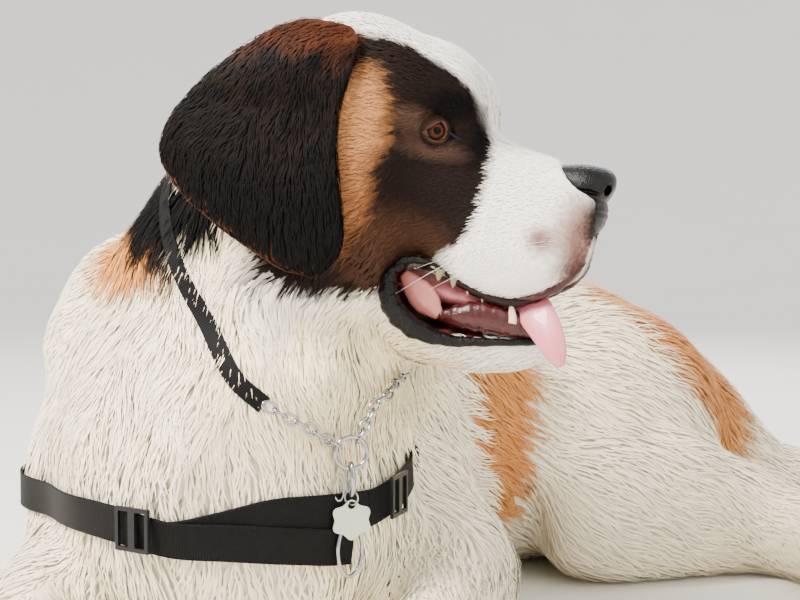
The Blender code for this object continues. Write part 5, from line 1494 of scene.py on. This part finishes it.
class Mouth:
    """Nose, tongue, lips, gums and teeth.

    Attributes:
        sides: The number of corners of a section, of rolls and teeth.
        steps: The number of rings between two waypoints of a roll, and of a tooth.
        folds: How deep a roll's even folds are, as a share of its radius.
        rough: How deep its random ones are.
    """

    sides = 14
    steps = 9
    folds = 0.07
    rough = 0.035

    def __init__(self) -> None:
        """Makes the pieces of both sides."""
        rng = np.random.default_rng(SEED)
        self.made = {flesh: finish.made(flesh.value) for flesh, finish in FINISHES.items()}
        refined("tongue", "tongue_flesh", 2, self.made[Flesh.TONGUE])
        refined("nose", "nose_leather", 2, self.made[Flesh.NOSE])
        for side in (-1, 1):
            for roll in SIDE_ROLLS:
                self.roll(f"{roll.name}_{side}", roll, side, rng)
            self.teeth(side)
        for roll in MIDDLE_ROLLS:
            self.roll(roll.name, roll, 1, rng)

    def roll(self, name: str, roll: Roll, side: int, rng: np.random.Generator) -> None:
        """Makes a roll on one side of the head, with crinkles by the random draw."""
        line = smooth(np.array(roll.path) * np.array([1.0, side, 1.0]), self.steps)
        radius = smooth(np.column_stack([roll.girth, roll.girth]), self.steps)[:, 0]
        count = len(line)
        fold = self.folds * np.sin(np.arange(count) * 1.1 + rng.uniform(0, 6))
        crinkle = fold[:, None] * np.cos(circle(self.sides)) + self.rough * rng.normal(size=(count, 1))
        taper = np.sin(np.linspace(0.25, math.pi - 0.25, count)) ** 0.35
        size = (radius * taper)[:, None] * (1 + roll.crinkled * crinkle)
        _, across, normal = frames(line, np.array([0.0, 1.0, 0.0]))
        rings = line[:, None] + around(across, normal, self.sides) * (size[..., None] * [1.0, roll.wide, 1.0])
        capped(name, from_head(rings)[:, ::-1], self.made[roll.flesh])

    def teeth(self, side: int) -> None:
        """Makes the lower canine, the upper cheek teeth and the lower front teeth."""
        rows = [((0.0898, 0.0375, -0.1400), 0.0042, 0.0205, 0.38)]
        for k in range(4):
            at = (0.024 + 0.013 * k, 0.042 - 0.0005 * k, -0.109 - 0.003 * k)
            rows.append((at, 0.0052 - 0.0006 * k, -0.011, 0.0))
        for k in range(3):
            rows.append(((0.108 - 0.002 * k, 0.003 + 0.006 * k, -0.146), 0.0026, 0.007, 0.0))
        share, turn = np.linspace(0, 1, self.steps), circle(self.sides)
        ring = np.stack([np.cos(turn), np.sin(turn) * 0.75, 0 * turn], -1)
        for k, (at, radius, height, lean) in enumerate(rows):
            girth = radius * np.clip(1 - share**1.3, 0.02, 1) ** 0.85
            rise = np.stack([-lean * height * share**2, 0 * share, height * share], -1)
            middle = np.array(at) * [1, side, 1] + rise
            rings = from_head(middle[:, None] + girth[:, None, None] * ring)
            # The upper cheek teeth take the darker finish: painted shade inside the mouth.
            flesh = Flesh.BACK if 0 < k < 5 else Flesh.TOOTH
            capped(f"tooth_{side}_{k}", rings if height > 0 else rings[:, ::-1], self.made[flesh])


class Whiskers:
    """The long white whiskers of the muzzle and the lower lip, thin tapered hairs."""

    upper = 10
    lower = 3
    girth = 0.00022

    def __init__(self) -> None:
        """Grows them on both sides, each a curve that leaves the skin and sags."""
        rng = np.random.default_rng(SEED + 90)
        white = Finish((250, 246, 238), 0.4, grain=0.01, bump=0.0, change=0.02).made("whisker")
        share = np.linspace(0, 1, 10)[:, None]
        girth = (self.girth * (1 - 0.85 * share))[..., None]
        sag = np.array([0.010, 0.0, 0.014]) * share**2
        for side in (-1, 1):
            for k in range(self.upper + self.lower):
                root = np.array([rng.uniform(0.035, 0.115), 0.046, rng.uniform(-0.105, -0.060)])
                if k >= self.upper:
                    root = np.array([rng.uniform(0.02, 0.09), 0.036, -0.172])
                way = unit(np.array([-0.75, 0.75, -0.15]) + rng.normal(0, 0.22, 3))
                path = root + way * rng.uniform(0.030, 0.062) * share - sag
                line = from_head(path * np.array([1.0, side, 1.0]))
                _, across, up = frames(line, HEAD_AXES[:, 2])
                capped(f"whisker_{side}_{k}", (line[:, None] + around(across, up, 6) * girth)[:, ::-1], white)


@dataclass(frozen=True)
class StrapSizes:
    """A strap.

    Attributes:
        node: The CAD node it stands for.
        route: Its waypoints, near the coat's outline.
        width: Its width.
        thickness: Its thickness.
        lift: How far its inner face lies over the outline.
        sink: How deep its last part goes under the coat.
        sunk_from: The share of its length where that part begins.
    """

    node: str
    route: tuple[tuple[float, float, float], ...] = ()
    width: float = 0.031
    thickness: float = 0.0022
    lift: float = 0.0
    sink: float = 0.0
    sunk_from: float = 0.30


STRAPS = (
    StrapSizes("harness_strap_right", (
        (-0.262, 0.232, 0.185), (-0.262, 0.100, 0.176), (-0.220, -0.060, 0.168), (-0.118, -0.161, 0.163),
        (0.000, -0.215, 0.170), (0.075, -0.222, 0.169), (0.133, -0.190, 0.163), (0.185, -0.144, 0.156),
        (0.204, -0.118, 0.151), (0.210, -0.096, 0.149)), lift=0.0024),
    StrapSizes("harness_strap_left", (
        (0.214, -0.076, 0.176), (0.214, -0.012, 0.187), (0.210, 0.030, 0.200), (0.200, 0.090, 0.212),
        (0.165, 0.160, 0.212), (0.100, 0.232, 0.200)), sink=0.014),
    StrapSizes("harness_strap_layer", (
        (0.118, -0.198, 0.165), (0.150, -0.176, 0.171), (0.180, -0.148, 0.180), (0.203, -0.120, 0.179),
        (0.212, -0.098, 0.1775), (0.214, -0.070, 0.1770)), lift=-0.0002),
    StrapSizes("collar_band", (
        (0.1842, -0.1664, 0.2693), (0.1600, -0.1795, 0.2945), (0.1143, -0.1711, 0.3425),
        (0.0897, -0.1773, 0.3802), (0.0677, -0.1697, 0.4196), (0.0515, -0.1493, 0.4550),
        (0.0376, -0.0836, 0.5067), (0.0565, -0.0015, 0.5121), (0.0985, 0.0548, 0.4685),
        (0.1455, 0.0742, 0.4003), (0.1875, 0.0415, 0.3174), (0.2120, -0.0050, 0.2850)), 0.015, lift=-0.0028),
)
GIRTH = StrapSizes("harness_girth", lift=-0.002, sink=0.016, sunk_from=0.5)


class Webbing:
    """The collar's band and the harness straps, laid along the coat's outline.

    Attributes:
        across: The corners of a strap's section, as shares of its half width.
        height: The same as shares of its thickness.
        step: The share of a strap's length over which it goes under the coat.
        girth_at: A point inside the trunk that the girth goes round.
        girth_reach: About how far it is from there.
        girth_arc: Its first and last angle, in degrees from the left side.
    """

    across = np.array([-1, -0.97, -0.86, 0, 0.86, 0.97, 1, 0.97, 0, -0.97])
    height = np.array([0.5, 0.95, 0.85, 0.85, 0.85, 0.95, 0.5, 0.05, 0.0, 0.05])
    step = 0.15
    girth_at = np.array([-0.083, 0.250, 0.170])
    girth_reach = np.array([0.185, 1, 0.235])
    girth_arc = (226, -46)

    def __init__(self, outline: BVHTree) -> None:
        """Lays every strap."""
        self.outline = outline
        self.material = self.web()
        for sizes in STRAPS:
            points = smooth(np.array(sizes.route), 14)
            place, normal = nearest(outline, points)
            for _ in range(8):
                place[1:-1] = (place[:-2] + 2 * place[1:-1] + place[2:]) / 4
            self.lay(sizes, place, self.evened(normal))
        self.girth()

    @staticmethod
    def evened(rows: Array) -> Array:
        """Returns directions evened along the strap."""
        for _ in range(14):
            ends = np.vstack([rows[:1], rows, rows[-1:]])
            rows = unit(ends[:-2] + 2 * ends[1:-1] + ends[2:])
        return rows

    def girth(self) -> None:
        """Lays the girth round the trunk, behind the elbows."""
        turn = np.radians(np.linspace(*self.girth_arc, 90))
        rays = np.stack([np.cos(turn), np.full_like(turn, -0.02), np.sin(turn)], -1)
        place, normal = nearest(self.outline, self.girth_at + rays * self.girth_reach)
        place[:, 1] = self.girth_at[1]
        self.lay(GIRTH, place, self.evened(normal))

    def lay(self, sizes: StrapSizes, place: Array, normal: Array) -> None:
        """Makes a strap: a band with rolled edges whose section has ten corners."""
        tangent = unit(np.gradient(place, axis=0))
        side = unit(np.cross(tangent, normal))
        out = np.cross(side, tangent)
        x = self.across * (sizes.width / 2)
        y = self.height * sizes.thickness + sizes.lift
        share = np.clip((np.linspace(0, 1, len(place)) - sizes.sunk_from) / self.step, 0, 1)
        deep = sizes.sink * share**2 * (3 - 2 * share)
        rise = (y[None] - deep[:, None])[..., None]
        rings = place[:, None] + side[:, None] * x[None, :, None] + out[:, None] * rise
        obj = capped(sizes.node + "_web", rings, self.material)
        run = np.append(0, np.cumsum(np.linalg.norm(np.diff(place, axis=0), axis=1)))
        grid = np.stack(np.broadcast_arrays(x[None], run[:, None]), -1).reshape(-1, 2)
        corner = read(obj.data.loops, "vertex_index", 1, np.int32)[:, 0]
        uv_map(obj, "Web", np.vstack([grid, grid[0], grid[-1]])[corner])
        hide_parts(sizes.node)

    @staticmethod
    def web() -> bpy.types.Material:
        """Returns ribbed black webbing that reads the strap's own map, across and along in metres."""
        nodes = Nodes("webbing")
        where = nodes.add("UVMap", {}, uv_map="Web")
        ribs = []
        for way, scale in (("X", 1500.0), ("Y", 900.0)):
            look = {"Scale": scale / 6.2832, "Distortion": 0.4, "Vector": where}
            ribs.append(nodes.add("TexWave", look, "Fac", bands_direction=way))
        both = nodes.times(*ribs)
        return nodes.shaded({
            "Base Color": nodes.ramp(both, ((0.0, (9, 9, 10)), (1.0, (24, 24, 26)))),
            "Normal": nodes.add("Bump", {"Distance": 0.0003, "Height": both}),
            "Roughness": 0.6, "Specular IOR Level": 0.12,
        })


class Hardware:
    """The chain, rings, bow, tag and slides, each smooth and placed by its CAD node."""

    wires = {"collar_ring": 0.0019, "snap_bow": 0.0021, "tag_ring": 0.0008, "harness_ring": 0.0017}
    link_wire = 0.00125
    loop_wire = 0.0008
    edge = 0.0004

    def __init__(self) -> None:
        """Makes every piece."""
        chrome = Finish((156, 156, 158), 0.14, 1.0, grain=0.003, bump=0.00003, change=0.08).made("chrome")
        tag = Finish((186, 192, 170), 0.36, 0.75, grain=0.0018, bump=0.0001, change=0.2).made("tag")
        plastic = Finish((26, 26, 28), 0.34, grain=0.0012, bump=0.00005, change=0.2, shine=0.2).made("slide")
        links = {name: self.link_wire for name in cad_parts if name.startswith("chain_link")}
        for name, wire in (self.wires | links).items():
            self.ring(name, wire, chrome)
        self.loop(chrome)
        for name, material in (("tag", tag), ("slide_right", plastic), ("slide_left", plastic)):
            obj = refined(name, name + "_piece", 0, material)
            bevel = obj.modifiers.new("edges", "BEVEL")
            bevel.width = self.edge
            bevel.segments = 2
            obj.data.shade_flat()

    def loop(self, material: bpy.types.Material) -> None:
        """Makes the thin oval loop that hangs beside the snap's bow, flat to the camera."""
        middle = read(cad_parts["snap_bow"].data.vertices, "co", 3).mean(0)
        right = np.array([math.cos(Studio.azimuth), math.sin(Studio.azimuth), 0.0])
        up = np.array([0.0, 0.0, 1.0])
        path = oval(middle - 0.0100 * right - 0.0070 * up, right * 0.0042, up * 0.0110)
        torus("snap_loop", path, np.cross(right, up), self.loop_wire, 12).data.materials.append(material)

    @staticmethod
    def ring(node: str, wire: float, material: bpy.types.Material) -> None:
        """Makes an oval of round wire with the CAD ring's middle, axes and reach."""
        points = np.unique(read(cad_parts[node].data.vertices, "co", 3).round(6), axis=0)
        middle = points.mean(0)
        axes = np.linalg.svd(points - middle)[2]
        spread = (points - middle) @ axes.T
        low, high = spread.min(0), spread.max(0)
        across, up = axes[:2] * ((high - low) / 2 - wire)[:2, None]
        path = oval(middle + ((high + low) / 2) @ axes, across, up)
        obj = torus(node + "_wire", path, np.cross(axes[0], axes[1]), wire, 14)
        obj.data.materials.append(material)
        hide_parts(node)


class Studio:
    """The pale floor, the lights and the camera at the photo's angle."""

    camera_at = (0.9986, -1.0345, 0.42)
    azimuth = math.radians(38.0)
    pitch = math.radians(-3.24)
    lens = 67.5
    floor_half = 9
    floor_lines = 40
    bend_from = 4.5

    def __init__(self) -> None:
        """Makes the floor, the lights, the sky and the camera."""
        self.floor()
        self.light("key", (-0.6, -2.2, 2.5), (0.1, 0.1, 0.2), 1.2, 380, (1.0, 0.94, 0.85))
        self.light("fill", (2.6, -0.6, 1.3), (0.1, 0.1, 0.2), 2.2, 36, (1.0, 0.98, 0.95))
        self.light("rim", (-0.8, 2.6, 2.2), (0.1, 0.3, 0.3), 1.8, 90, (1.0, 0.98, 0.95))
        world = bpy.data.worlds.new("studio")
        world.use_nodes = True
        sky = world.node_tree.nodes["Background"]
        sky.inputs["Color"].default_value = (0.97, 0.98, 1.0, 1)
        sky.inputs["Strength"].default_value = 1.55
        bpy.context.scene.world = world
        data = bpy.data.cameras.new("photo")
        data.lens = self.lens
        camera = bpy.data.objects.new("photo", data)
        camera.location = self.camera_at
        camera.rotation_euler = (math.pi / 2 + self.pitch, 0.0, self.azimuth)
        bpy.context.scene.collection.objects.link(camera)
        bpy.context.scene.camera = camera

    def floor(self) -> None:
        """Makes a floor that bends up far behind."""
        count = self.floor_lines
        line = np.linspace(-self.floor_half, self.floor_half, count)
        x, y = np.meshgrid(line, line, indexing="ij")
        z = 0.12 * np.clip(np.sqrt(x**2 + y**2) - self.bend_from, 0, None) ** 2
        points = np.stack([x, y, z], -1).reshape(-1, 3)
        a = (np.arange(count - 1)[:, None] * count + np.arange(count - 1)).ravel()
        faces = np.stack([a, a + count, a + count + 1, a + 1], -1)
        mesh = bpy.data.meshes.new("floor")
        mesh.from_pydata(points.tolist(), [], faces.tolist())
        mesh.shade_smooth()
        obj = bpy.data.objects.new("floor", mesh)
        bpy.context.scene.collection.objects.link(obj)
        mesh.materials.append(Finish((226, 223, 216), 0.75, grain=0.4, bump=0.0, change=0.02).made("floor"))

    @staticmethod
    def light(name: str, at: tuple, aim: tuple, size: float, power: float, colour: tuple) -> None:
        """Makes an area light.

        Args:
            name: The light's name.
            at: Its place.
            aim: The place that it points at.
            size: Its side.
            power: Its power in watts.
            colour: Its colour, as linear light.
        """
        data = bpy.data.lights.new(name, "AREA")
        data.size = size
        data.energy = power
        data.color = colour
        obj = bpy.data.objects.new(name, data)
        obj.location = at
        obj.rotation_euler = (Vector(aim) - Vector(at)).to_track_quat("-Z", "Y").to_euler()
        bpy.context.scene.collection.objects.link(obj)


def main() -> None:
    """Builds the studio and the dog in order, and logs each step."""
    logging.basicConfig(level=logging.INFO, format="%(relativeCreated)d ms %(message)s")
    Studio()
    dog = Dog()
    LOG.info("skin: %d faces", len(dog.hull.faces))
    Webbing(dog.outline)
    Hardware()
    Mouth()
    Eyes()
    Whiskers()
    Claws()
    LOG.info("small pieces made")
    dog.grow()
    Ears()
    LOG.info("coat made")


if __name__ == "__main__":
    main()
